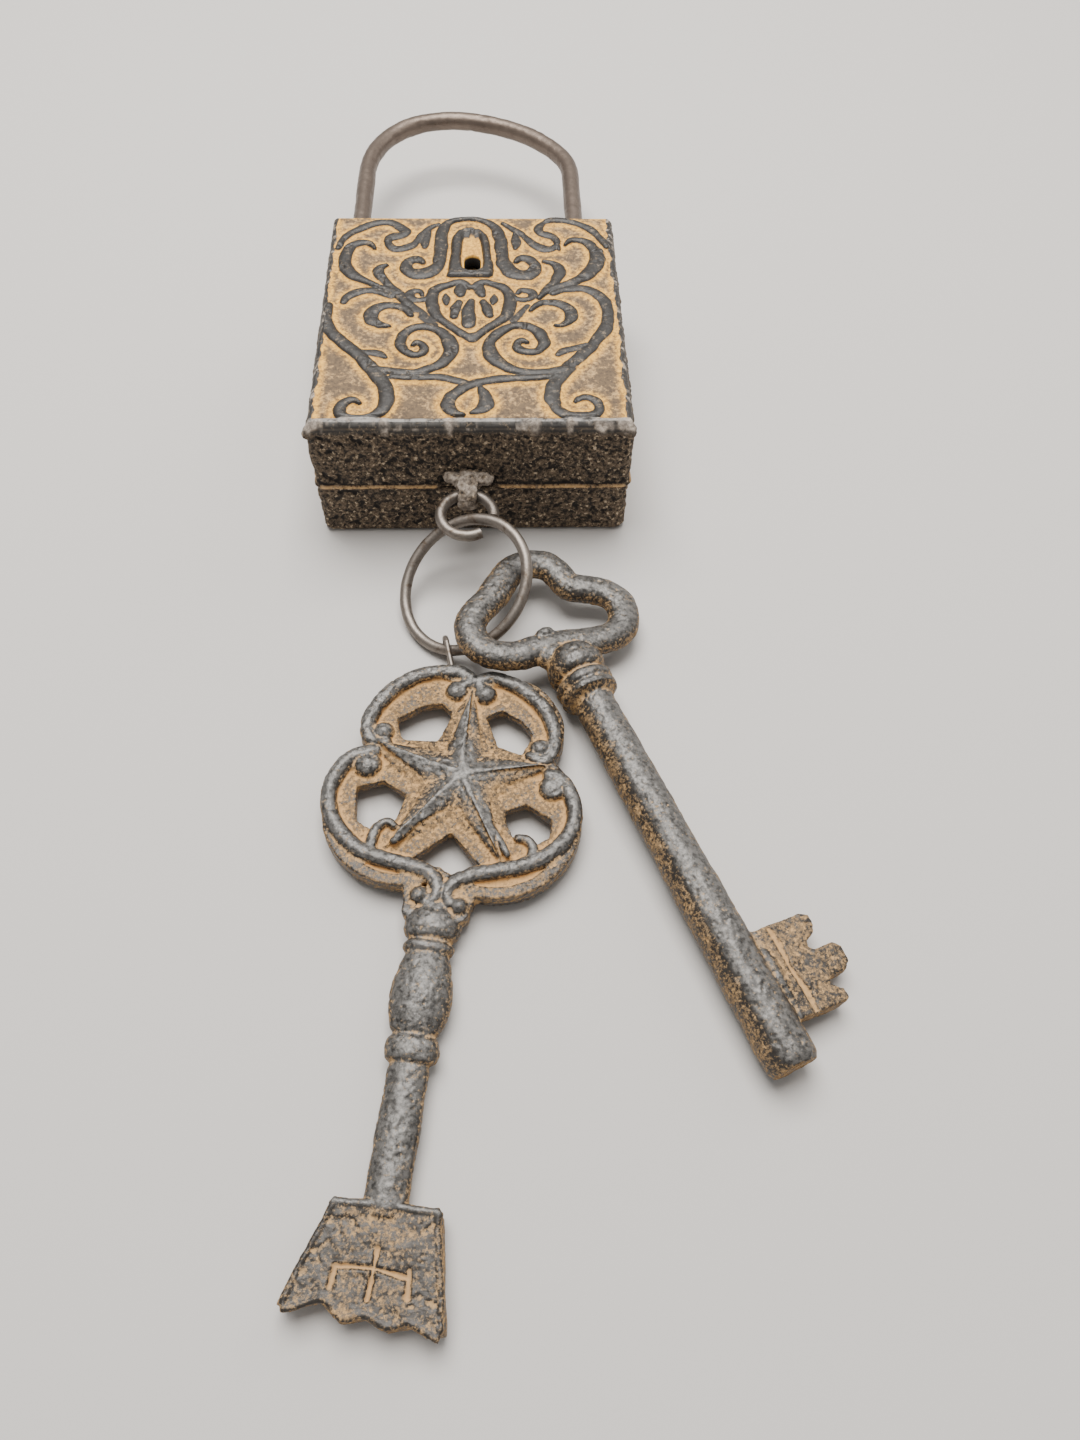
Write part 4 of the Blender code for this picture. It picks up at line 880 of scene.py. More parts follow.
def lug():
    """The cast eye at the foot of the case, a lumpy bracket that narrows towards its hole."""
    x, y, z = LUG
    eye = ((3.0, 0), (3.6, .5), (3.7, 2.3), (3.6, 4.1), (3.0, 4.6))
    bracket = [
        turned("eye", (x - 2.3, y, z), (1, 0, 0), eye),
        lump("neck", (x, -45.2, 18.6), (3.4, 3.6, 2.9)),
        lump("shoulder", (x + 0.4, -44.2, 20.2), (6.6, 2.4, 2.0)),
        lump("left_knot", (x - 3.6, -45.0, 20.6), (2.3, 2.0, 1.5)),
        lump("right_knot", (x + 3.9, -45.1, 20.0), (2.6, 2.1, 1.7)),
        lump("crown", (x + 0.3, -47.0, 20.9), (2.5, 2.6, 1.2)),
    ]
    bracket = soften(melt(bracket, "lug", LUG_VOXEL), 4)
    displace(bracket, 0.35 * turbulence(coordinates(bracket), 1.6, 3, 41))
    bore = ((LUG_HOLE_RADIUS, 0), (LUG_HOLE_RADIUS, 12))
    boolean(bracket, turned("lug_hole", (x - 6, y, z), (1, 0, 0), bore), "DIFFERENCE")
    return boolean(bracket, block("inside", (x - 12, 2 - HALF_LENGTH, 10), (x + 12, 0, 30)), "DIFFERENCE")


def front_case(material):
    """The plate, the upper walls and the lug, hollowed by the CAD solid."""
    low = PARTING + GAP / 2
    profile = [*FRONT_EDGE, *wall_rows(31.8, low - 0.05, 44)]
    solid = wrapped_solid("front_case_outer", FRONT_GRID, plate_top, profile)
    roughen_walls(solid, PARTING + 1.0, 34.2)
    parting_ridge(solid)
    boolean(solid, stretched_cad("front_case", lambda z: np.where(z > 32.5, 4.0, 0.0)), "INTERSECT")
    boolean(solid, lug(), "UNION")
    mark_case(solid, PARTING, RIDGE_TOP)
    place_piece(solid, "front_casting", "case", material, "front_case", CASE_SMOOTH)


def back_face(x, y):
    """The back's shallow casting waves."""
    return -0.06 * (1.0 + turbulence(level_points(x, y), 2.4, 3, 51))


def back_case(material):
    """The back half, built face up like the front half and then turned over."""
    high = PARTING - GAP / 2
    profile = [*BACK_EDGE, *wall_rows(-1.4, -high - 0.05, 38)]
    solid = wrapped_solid("back_case_outer", BACK_GRID, back_face, profile)
    solid.data.transform(Matrix.Scale(-1.0, 4, (0, 0, 1)))
    solid.data.flip_normals()
    roughen_walls(solid, 0.2, high)
    boolean(solid, stretched_cad("back_case", lambda z: np.where(z < 0.7, -4.0, 0.0)), "INTERSECT")
    mark_case(solid, 0.0, 0.0)
    place_piece(solid, "back_casting", "case", material, "back_case", CASE_SMOOTH)


# The shackle

BAR_STEP = 0.45
BAR_TIP = 0.8
BAR_SIDES = 44


def shackle(material):
    """A U-shaped bar, notched at its toe for the bolt and grooved at its heel for the pin."""
    reach = LEG_SPACING / 2
    toe_x, heel_x = LEG_CENTRE_X + reach, LEG_CENTRE_X - reach
    path = [(toe_x, y, SHACKLE_Z) for y in np.arange(TOE_END_Y + BAR_TIP, BEND_START_Y, BAR_STEP)]
    for angle in np.linspace(0.0, pi, 250):
        path.append((LEG_CENTRE_X + reach * cos(angle) - BOW_LEAN * sin(angle) ** 2,
                     BEND_START_Y + reach * sin(angle) - BOW_SKEW * sin(2 * angle), SHACKLE_Z))
    path += [(heel_x, y, SHACKLE_Z) for y in np.arange(BEND_START_Y, HEEL_END_Y + BAR_TIP, -BAR_STEP)]
    bar = tube("shackle_bar", path, ROD_RADIUS, BAR_SIDES, tip=0.3)
    points = coordinates(bar)
    outside = smoothstep(HALF_LENGTH - 2, HALF_LENGTH + 3, points[:, 1])
    scale = 0.10 * turbulence(points, 9.0, 3, 61) + 0.045 * turbulence(points, 1.7, 3, 63)
    chips = 0.12 * smoothstep(0.45, 0.8, lattice(points, 2.6, 67))
    displace(bar, (scale - chips) * outside - 0.02)
    notch_floor = toe_x - ROD_RADIUS + NOTCH_DEPTH
    notch = block("notch", (toe_x - 4, NOTCH_Y[0], 14), (notch_floor, NOTCH_Y[1], 22))
    groove_floor = heel_x + HEEL_PIN_REACH - HEEL_PIN_RADIUS - GAP
    groove = block("groove", (groove_floor, GROOVE_Y[0], 14), (heel_x + 4, GROOVE_Y[1], 22))
    boolean(bar, notch, "DIFFERENCE")
    boolean(bar, groove, "DIFFERENCE")
    store_hollows(bar, 16)
    place_piece(bar, "shackle_bar", "shackle", material, "shackle", 50.0)


# The rings

def arc(centre, first, second, angles):
    """Points of an ellipse about a centre; first and second are its half axes."""
    angles = np.asarray(angles)[:, None]
    return centre + np.cos(angles) * first + np.sin(angles) * second


def big_ring_axes():
    """The big ring's half axes, the first of them level."""
    level = unit(np.cross((0.0, 0.0, 1.0), BIG_NORMAL))
    return level * BIG_HALF_WIDTH, np.cross(unit(BIG_NORMAL), level) * BIG_HALF_LENGTH


def big_ring_point(azimuth):
    """The point of the big ring's wire that lies in a compass direction from its centre."""
    x, y = cos(azimuth), sin(azimuth)
    ray = np.array((x, y, -(BIG_NORMAL[0] * x + BIG_NORMAL[1] * y) / BIG_NORMAL[2]))
    reach = sum((ray.dot(axis) / axis.dot(axis)) ** 2 for axis in big_ring_axes())
    return BIG_CENTRE + ray / sqrt(reach)


def wire(name, path, radius, body, material, node, seed, cyclic=False):
    """A slightly uneven round wire along a path, in place of a CAD node."""
    ring = tube(name, path, radius, 28, cyclic, tip=0.12)
    displace(ring, 0.035 * turbulence(coordinates(ring), 2.2, 4, seed) - 0.02)
    store_hollows(ring, 10)
    place_piece(ring, name, body, material, node, 45.0)


def rings(material):
    """The small open ring that hangs from the lug, and the big ring that it carries."""
    inward = np.array((0.0, -cos(SMALL_RING_DROOP), -sin(SMALL_RING_DROOP)))
    path = arc(LUG + inward * SMALL_RING_RADIUS, np.array((SMALL_RING_RADIUS, 0, 0)),
               -inward * SMALL_RING_RADIUS, np.radians(np.linspace(*SMALL_RING_ENDS, 150)))
    wire("small_ring_wire", path, SMALL_WIRE, "small_ring", material, "small_ring", 81)
    path = arc(BIG_CENTRE, *big_ring_axes(), np.linspace(0, 2 * pi, 360, endpoint=False))
    wire("big_ring_wire", path, BIG_WIRE, "big_ring", material, "big_ring", 83, cyclic=True)


def staple(material):
    """The wire loop that ties the star key's bow to the big ring, its two feet in the casting."""
    centre = big_ring_point(EYE_AZIMUTH)
    foot = np.array(STAR_PLACE + Matrix.Rotation(STAR_TURN, 3, "Z") @ EYE_FOOT)
    along = unit(centre - foot)
    up = unit(np.array((0.0, 0.0, 1.0)) - along * along[2])
    loop = arc(centre + up * EYE_RISE, along * EYE_HALF_LENGTH, up * EYE_HALF_HEIGHT,
               np.radians(np.linspace(-115, 115, 60)))
    step = up * EYE_FOOT_HALF_GAP
    path = catmull([foot - step, *loop[::4], foot + step], 6)
    wire("star_key_staple", path, EYE_WIRE, "star_key", material, "star_key_eye", 85)


# The keys

def engrave(obj, lines, depth):
    """Sinks narrow lines of (x, y, half width) into the flat faces of a key's bit."""
    x, y, _ = coordinates(obj).T
    facing = smoothstep(0.45, 0.8, np.abs(normals(obj)[:, 2]))
    sunk = np.zeros(len(x))
    for rows in lines:
        path = catmull(rows, 2) if len(rows) > 2 else np.array(rows)
        _, gap = stroke_field(x, y, path)
        sunk = np.maximum(sunk, smoothstep(0.3, -0.25, gap))
    displace(obj, -depth * sunk * facing)


def finish_key(obj, name, place, body, material, seed):
    """Cast and worn surface, the recess map, and the move to the key's place."""
    points = coordinates(obj)
    waves = 0.14 * turbulence(points, 5.0, 2, seed) + 0.06 * turbulence(points, 1.2, 3, seed + 5, 0.65)
    pits = 0.16 * smoothstep(0.35, 0.8, turbulence(points, 1.6, 2, seed + 9))
    displace(obj, waves - pits)
    store_hollows(obj, 30)
    obj.data.transform(place)
    place_piece(obj, name, body, material, body)


# The star key: outlines of (x, y), bars of (x, y, half width) and a stem of (radius, along)

STAR_OPENINGS = (
    ((-6.5, 18.6), (-3.8, 16.4), (-4.4, 5.9), (-11.5, 6.6), (-14.3, 8.6), (-16.0, 13.0), (-11.0, 17.2)),
    ((4.3, 16.0), (7.6, 18.2), (12.5, 15.8), (15.3, 12.6), (14.2, 8.8), (13.2, 5.8), (6.4, 6.0)),
    ((-21.6, -5.4), (-16.0, -3.2), (-9.6, -6.6), (-12.6, -14.2), (-16.0, -15.3), (-20.3, -13.4)),
    ((10.4, -8.0), (16.0, -5.5), (22.0, -8.6), (21.6, -12.8), (18.0, -15.5), (14.4, -14.0)),
    ((0.6, -14.0), (-6.9, -21.2), (-3.4, -23.0), (0.8, -26.4), (4.8, -22.9), (8.4, -21.6)),
)
STAR_LOBES = ((-8.0, 12.5, 15.0), (7.6, 12.3, 14.9), (-9.6, -9.0, 18.6), (9.6, -9.6, 18.8))
STAR_CENTRE = (0.8, -0.4)
STAR_TIPS = ((0.2, 22.5), (20.2, 4.0), (11.8, -19.6), (-12.0, -18.4), (-20.6, 6.2))
STAR_RIMS = (
    ((-17.0, 6.4, .9), (-19.4, 6.0, 1.1), (-21.6, 7.6, 1.3), (-22.2, 10.8, 1.4), (-21.2, 15.2, 1.5),
     (-18.4, 20.2, 1.5), (-13.8, 24.6, 1.5), (-8.6, 26.8, 1.5), (-3.8, 27.0, 1.5), (-0.6, 25.2, 1.4),
     (-2.2, 23.4, 1.3)),
    ((15.2, 6.6, .9), (17.6, 5.6, 1.1), (19.8, 6.6, 1.2), (20.6, 10.0, 1.3), (19.6, 15.2, 1.4),
     (16.6, 20.0, 1.5), (12.0, 23.8, 1.5), (7.6, 25.8, 1.5), (4.0, 26.2, 1.5), (1.4, 24.8, 1.4),
     (2.4, 23.0, 1.3)),
    ((-19.2, 3.6, 1.4), (-22.6, 2.6, 1.4), (-25.6, -0.4, 1.4), (-27.2, -5.6, 1.4), (-26.6, -11.0, 1.5),
     (-23.6, -16.0, 1.5), (-18.8, -20.0, 1.5), (-12.8, -22.0, 1.5), (-7.2, -22.8, 1.5),
     (-2.6, -24.0, 1.4), (-0.4, -26.6, 1.4), (-0.4, -29.2, 1.2), (-2.0, -30.9, 1.0)),
    ((20.4, 2.0, 1.4), (23.6, 0.6, 1.4), (26.0, -4.0, 1.4), (26.7, -8.4, 1.4), (25.3, -13.0, 1.5),
     (22.1, -17.0, 1.5), (16.6, -20.4, 1.5), (10.6, -22.3, 1.5), (6.2, -23.6, 1.4), (3.0, -26.0, 1.4),
     (2.1, -28.6, 1.2), (2.9, -30.8, 1.0)),
)
STAR_HOOKS = (
    ((-15.6, -20.2, 1.0), (-15.8, -17.2, 1.0), (-15.0, -14.6, .9), (-13.2, -13.3, .8), (-11.6, -14.2, .7)),
    ((14.9, -14.0, .7), (16.9, -14.2, .8), (18.5, -15.8, .9), (18.6, -18.4, 1.0)),
)
STAR_RODS = (
    ((-4.2, -8.6, .8), (-6.8, -12.2, .8), (-9.2, -15.5, .75), (-11.0, -18.0, .7)),
    ((5.6, -8.0, .7), (8.4, -11.6, .7), (11.4, -15.4, .7), (13.4, -18.4, .6)),
)
STAR_KNOBS = ((-3.4, 22.0, 2.4), (3.2, 21.8, 2.4), (-20.3, 0.2, 2.8), (21.2, -1.0, 2.7), (-3.5, -29.2, 1.9),
              (4.8, -30.7, 1.8), (-18.4, 9.0, 2.1), (17.6, 8.6, 2.2))
STAR_STEM = (
    (3.0, 28.5), (4.6, 31.8), (5.4, 32.9), (5.9, 34.2), (5.9, 35.9), (5.4, 37.4), (4.1, 38.3),
    (5.3, 39.1), (5.3, 40.2), (4.4, 41.0), (5.2, 43.4), (6.1, 47.0), (6.35, 50.0), (5.9, 53.2), (4.9, 56.2),
    (4.0, 57.1), (5.0, 58.2), (5.4, 60.0), (5.0, 61.8), (3.7, 62.6), (4.1, 63.8), (4.15, 74.0), (4.0, 89.0),
)
STAR_BIT = (
    (-8.6, -86.6), (9.4, -86.6), (10.6, -88.0), (13.9, -105.6), (11.2, -106.0), (8.0, -105.0),
    (4.0, -106.0), (0.0, -104.5), (-4.0, -105.6), (-8.0, -102.9), (-12.0, -104.2), (-15.4, -104.0),
    (-9.9, -88.2),
)
STAR_CROSS = (
    ((-6.5, -97.3, .3), (0.0, -97.0, .3), (6.1, -97.9, .35)),
    ((0.2, -93.9, .15), (0.1, -97.0, .3), (-0.1, -101.6, .4)),
    ((-6.5, -97.3, .35), (-6.8, -100.4, .4)),
    ((6.2, -96.6, .1), (6.3, -98.0, .3), (6.6, -100.8, .4)),
)
STAR_LEVELS = ((-0.6, 1.12, 11.5), (0.9, 1.12, 11.5), (2.3, 1.0, 7.0), (3.8, 0.92, 0.9))
STAR_NECK = (
    (-6.8, -27.0), (0.6, -27.4), (7.4, -27.0), (7.2, -31.0), (5.6, -34.0), (-5.4, -34.0), (-6.6, -31.0),
)
BIT_LEVELS = ((1.0, -2.4), (1.0, 0.6), (0.95, 2.2))
BIT_MIDDLE_Y = -96.0
STAR_VOXEL = 0.25
STAR_CUT = 0.6

# The trefoil key, in the same way

TREFOIL_PATH = (
    (-0.2, 12.5), (-6.4, 13.0), (-11.5, 12.9), (-16.6, 14.9), (-19.7, 19.2), (-19.0, 24.6), (-15.3, 28.3),
    (-11.3, 30.7), (-6.7, 34.5), (-2.7, 37.6), (2.4, 38.4), (6.8, 36.4), (8.3, 32.6), (9.3, 28.8),
    (13.0, 26.7), (17.3, 23.9), (19.2, 19.8), (17.5, 14.3), (13.3, 11.4), (7.1, 11.2),
)
TREFOIL_SHAFT = (
    (1.6, -11.0), (3.6, -10.6), (5.3, -9.3), (6.5, -7.4), (7.0, -5.2), (6.8, -3.6), (6.1, -2.5),
    (5.4, -1.9), (6.6, -1.2), (7.0, -0.3), (6.9, .9), (6.4, 1.5), (6.9, 2.2), (6.8, 3.4), (5.6, 4.1),
    (4.8, 4.8),
    (4.85, 12.0), (5.0, 40.0), (5.3, 70.0), (5.45, 90.0), (5.3, 92.8), (4.6, 94.1),
)
TREFOIL_BIT = (
    (0.0, -67.4), (16.6, -67.7), (18.3, -68.6), (18.4, -70.6), (17.4, -72.2), (15.0, -73.2), (14.6, -74.6),
    (15.6, -75.5), (19.8, -75.4), (21.3, -76.8), (21.0, -80.2), (19.6, -81.5), (15.4, -81.7), (14.9, -83.0),
    (16.9, -84.4), (17.0, -86.4), (15.8, -87.0), (0.0, -86.6),
)
TREFOIL_GROOVE = ((8.6, -67.4, .3), (9.1, -72.0, .7), (8.7, -77.0, .3), (9.3, -82.0, .7), (9.0, -87.0, .4))
TREFOIL_VOXEL = 0.28
TREFOIL_CUT = 0.5


def star_outline(reach, waist):
    """The bow's star: its tips at a share of their distance, and its waists in millimetres."""
    centre = Vector(STAR_CENTRE)
    tips = [Vector(tip) - centre for tip in STAR_TIPS]
    points = []
    for tip, following in zip(tips, tips[1:] + tips[:1]):
        points.append(centre + tip * reach)
        points.append(centre + (tip.normalized() + following.normalized()).normalized() * waist)
    return points


def lobes(inset, thick):
    """The four overlapping discs of the star key's bow, as one solid."""
    disc = [(cos(a), sin(a)) for a in np.linspace(0, 2 * pi, 96, endpoint=False)]
    slab = None
    for x, y, radius in STAR_LOBES:
        reach = radius - inset
        lobe = prism("lobe", [(x + reach * c, y + reach * s) for c, s in disc], -thick, thick)
        slab = boolean(slab, lobe, "UNION") if slab else lobe
    return slab


def star_faces():
    """The bow's raised bars, knobs and star, once for each side."""
    pieces = []
    for face in (1, -1):
        for rows, level in ((STAR_RIMS, 1.8), (STAR_HOOKS, 1.9), (STAR_RODS, 2.5)):
            for row in rows:
                path = catmull(row, 8)
                bar = np.column_stack((path[:, :2], np.full(len(path), level * face)))
                pieces.append(tube("rim", bar, path[:, 2] * 1.3, 18, flatness=0.85, tip=0.9))
        for x, y, radius in STAR_KNOBS:
            pieces.append(lump("knob", (x, y, 1.2 * face), (radius * 1.2, radius * 1.2, 2.3)))
        heights = [(z, star_outline(reach, waist)) for z, reach, waist in STAR_LEVELS]
        pieces.append(loft("star", [[(p.x, p.y, z * face) for p in ring] for z, ring in heights]))
    return pieces


def scaled_bit(share, z):
    """The star key's bit outline, shrunk about its middle and set at a height."""
    return [(x * share, (y - BIT_MIDDLE_Y) * share + BIT_MIDDLE_Y, z) for x, y in STAR_BIT]


def star_wear_and_sheen(key):
    """How much each point of the star key stands proud and faces up: wear on its proud places, and a
    painted sheen on its upward faces.
    """
    x, y, z = coordinates(key).T
    rise = np.abs(z)
    upward = np.abs(normals(key)[:, 2])
    near_star = smoothstep(15.0, 11.0, np.hypot(x - 0.8, y + 0.4))
    proud = smoothstep(1.6 + 0.5 * near_star, 3.0 + 0.4 * near_star, rise)
    ridges = 0.30 + 0.70 * proud * smoothstep(0.3, 0.8, upward)
    walls = 0.62 * smoothstep(0.5, 0.2, upward) * smoothstep(0.0, 0.6, rise)
    # Painted sheen: the stem's upward faces rise towards the pale tone.
    stem = 0.5 + 0.5 * smoothstep(0.35, 0.85, upward)
    middle = smoothstep(9.0, 4.0, np.abs(x))
    on_bit = smoothstep(-87.0, -88.5, y)
    stem -= (0.22 + 0.14 * middle + 0.1 * smoothstep(2.2, 2.45, rise)) * on_bit
    bow = smoothstep(-33.0, -31.5, y)
    return bow * np.maximum(ridges, walls) + (1 - bow) * stem


def star_key(material):
    """The star key: a band round its bow, a pierced web, its raised work, the stem and the bit."""
    band = boolean(lobes(0.0, 2.2), lobes(2.6, 4.0), "DIFFERENCE")
    web = lobes(1.0, 1.3)
    for outline in STAR_OPENINGS:
        boolean(web, prism("opening", outline, -9, 9), "DIFFERENCE")
    pieces = [
        band,
        web,
        *star_faces(),
        prism("neck", catmull(STAR_NECK, 5, cyclic=True), -2.1, 2.1),
        turned("stem", (0, 0, 0), (0, -1, 0), STAR_STEM, 40, flatness=0.66),
        loft("bit", [scaled_bit(share, z) for share, z in BIT_LEVELS]),
        tube("bit_border", catmull(scaled_bit(0.92, 1.75), 3, cyclic=True), 0.75, 12, cyclic=True),
    ]
    key = soften(melt(pieces, "star_key_body", STAR_VOXEL), 4)
    engrave(key, STAR_CROSS, STAR_CUT)
    store(key, "high", star_wear_and_sheen(key))
    place = Matrix.Translation(STAR_PLACE * MM) @ Matrix.Rotation(STAR_TURN, 4, "Z")
    finish_key(key, "star_key_body", place, "star_key", material, 101)


def trefoil_key(material):
    """The trefoil key: a bent round bar for its bow, a turned shaft and a flat bit."""
    path = catmull(TREFOIL_PATH, 9, cyclic=True)
    path = np.column_stack((path, np.zeros(len(path))))
    radii = 3.9 + 0.12 * lattice(path, 9.0, 121)
    pieces = [
        tube("bow", path, radii, 32, cyclic=True, flatness=0.77),
        turned("shaft", (0, 0, 0), (0, -1, 0), TREFOIL_SHAFT, 44),
        prism("bit", TREFOIL_BIT, -2.4, 2.4),
        lump("seam_bump", (-3.5, 15.8, 1.5), (2.5, 1.7, 1.8)),
        lump("gusset", (-3.4, 9.8, 0.2), (4.6, 3.8, 3.1)),
        lump("web", (4.6, -77.0, 0.0), (3.4, 9.6, 3.4)),
    ]
    key = soften(melt(pieces, "trefoil_key_body", TREFOIL_VOXEL), 3)
    engrave(key, (TREFOIL_GROOVE,), TREFOIL_CUT)
    x, y, _ = coordinates(key).T
    # Painted sheen: upward-facing faces get a high value, which the material paints pale; the bit and the
    # end get less.
    high = 0.46 + 0.54 * smoothstep(0.45, 0.92, np.abs(normals(key)[:, 2]))
    bit = smoothstep(5.2, 6.4, x) * smoothstep(-66.0, -68.0, y)
    end = smoothstep(-93.8, -94.2, y)
    store(key, "high", high * (1 - 0.50 * bit) * (1 - end))
    place = Matrix.Translation(TREFOIL_PLACE * MM) @ TREFOIL_TURN.to_matrix().to_4x4()
    finish_key(key, "trefoil_key_body", place, "trefoil_key", material, 131)


# The finishes: single colours, and pairs that noise runs between

BRIGHT_OCHRE = ((0.40, 0.195, 0.042), (0.88, 0.49, 0.088))
DULL_OCHRE = ((0.16, 0.100, 0.052), (0.54, 0.35, 0.160))
PLATE_DIRT = (0.072, 0.054, 0.041)
CASTING_BLACK = ((0.006, 0.005, 0.005), (0.026, 0.023, 0.020))
SCUFF_TAN = (0.34, 0.25, 0.155)
# Tan-brown wall grain, whose darkest tone also serves as painted shade in the walls' hollows.
WALL_GRAIN_AND_SHADE = ((0.015, 0.012, 0.010), (0.205, 0.150, 0.098))
WALL_TAN = ((0.38, 0.285, 0.19), (0.78, 0.63, 0.44))
# Painted highlight: the pale grey laid on the foot rim's upward top.
RIM_HIGHLIGHT_GREY = (0.30, 0.285, 0.265)
RIDGE_RUST = ((0.34, 0.19, 0.085), (0.80, 0.52, 0.25))
BARE_IRON = ((0.085, 0.068, 0.055), (0.56, 0.48, 0.40))
# Painted shade: the near black of the keyhole and the case's inside.
INSIDE_SHADE_BLACK = (0.006, 0.005, 0.005)
KEY_DARK = ((0.010, 0.009, 0.008), (0.060, 0.053, 0.047))
# Painted sheen: the pale grey of the keys' upward-facing and proud places.
KEY_SHEEN = ((0.026, 0.025, 0.024), (0.150, 0.145, 0.138))
KEY_BROWN = ((0.042, 0.026, 0.015), (0.33, 0.205, 0.092))
KEY_OCHRE = ((0.38, 0.225, 0.095), (0.80, 0.50, 0.200))
# Painted sheen: the greyish tan that ochre turns on upward-facing places.
OCHRE_SHEEN_TAN = (0.44, 0.32, 0.195)
SHACKLE_BROWN = ((0.085, 0.066, 0.055), (0.24, 0.19, 0.155))
SHACKLE_PITS = (0.085, 0.06, 0.045)
SHACKLE_RUST = (0.24, 0.14, 0.075)
METALS = {
    "bare_steel": ((0.13, 0.115, 0.10), (0.30, 0.265, 0.235), (0.10, 0.072, 0.05), 0.34),
    "brass_works": ((0.42, 0.29, 0.11), (0.62, 0.46, 0.20), (0.20, 0.13, 0.06), 0.32),
    "spring_steel": ((0.16, 0.18, 0.22), (0.30, 0.32, 0.36), (0.10, 0.08, 0.07), 0.28),
}


def black_iron(shade):
    """Black casting skin with tan scuffs."""
    black = shade.mix(shade.noise(2.4, 4.0), *CASTING_BLACK)
    scuffs = shade.between(shade.noise(1.6, 5.0, 0.8), 0.54, 0.66)
    return shade.mix(shade.times(scuffs, 0.45), black, SCUFF_TAN)


def plate_ground(shade, fine, patch, grain, nook):
    """The ground between the strokes: ochre kept in the nooks, and dirt away from them."""
    speckle = shade.between(fine, 0.34, 0.62)
    ochre = shade.mix(shade.between(nook, 0.12, 0.62), shade.mix(speckle, *DULL_OCHRE),
                      shade.mix(speckle, *BRIGHT_OCHRE))
    cover = shade.times(shade.subtract(1.0, nook), shade.scaled(patch, -0.10, 0.62))
    dirt = shade.between(shade.add(grain, cover), 0.58, 0.76)
    return shade.mix(shade.times(dirt, 0.8), ochre, PLATE_DIRT)


def wall_iron(shade, patch, hollow):
    """Dark walls whose raised grains are tan, and whose hollows are darkened by painted shade."""
    # Painted shade: the hollows pull the grain towards its darkest tone.
    raised = shade.subtract(shade.noise(0.85, 5.0, 0.75), shade.scaled(hollow, 0.0, 0.9))
    wall = shade.mix(shade.between(raised, 0.36, 0.64), *WALL_GRAIN_AND_SHADE)
    specks = shade.times(shade.noise(1.1, 2.0, 0.6), raised)
    return shade.mix(shade.between(specks, 0.30, 0.38), wall, shade.mix(patch, *WALL_TAN))


def case_iron():
    """Old black iron with ochre in its ground, a tan grain on its walls and worn tan edges, with painted
    shade in the walls' hollows, the keyhole and the inside, and a painted highlight along the foot rim's
    top.
    """
    shade = Shade("aged_casting", 0.0)
    names = ("top", "relief", "nook", "rim", "rim_highlight", "worn", "hollow", "inside", "ridge")
    top, relief, nook, rim, rim_highlight, worn, hollow, inside, ridge = (shade.attribute(name) for name in names)
    fine, patch = shade.noise(0.9, 5.0, 0.75), shade.noise(7.0, 3.0, 0.6, 0.4)
    grain = shade.noise(1.3, 5.0, 0.75)
    black = black_iron(shade)
    stroke = shade.between(shade.add(relief, shade.scaled(fine, -0.5, 0.5)), 0.26, 0.62)
    plate = shade.mix(stroke, plate_ground(shade, fine, patch, grain, nook), black)
    body = shade.mix(top, wall_iron(shade, patch, hollow), plate)
    # Painted highlight: pale grey patches on the foot rim's upward top, standing for the light that it
    # reflects.
    rim_glint = shade.times(rim_highlight, shade.between(shade.noise(2.2, 5.0, 0.7), 0.34, 0.56))
    body = shade.mix(rim, body, shade.mix(rim_glint, black, RIM_HIGHLIGHT_GREY))
    broken = shade.between(shade.add(fine, shade.scaled(patch, -0.2, 0.2)), 0.36, 0.50)
    body = shade.mix(shade.times(ridge, broken), body, shade.mix(fine, *RIDGE_RUST))
    body = shade.mix(worn, body, shade.mix(shade.between(grain, 0.3, 0.7), *BARE_IRON))
    # Painted shade: the keyhole and the case's inside are painted near black.
    body = shade.mix(shade.between(inside, 0.05, 0.30), body, INSIDE_SHADE_BLACK)
    dark = shade.times(shade.maths("MAXIMUM", relief, rim), shade.subtract(1.0, worn))
    gloss = shade.mix(dark, grey(0.90), grey(0.46))
    return shade.finish(body, gloss, shade.noise(0.5, 4.0, 0.75), 0.6, 0.14)


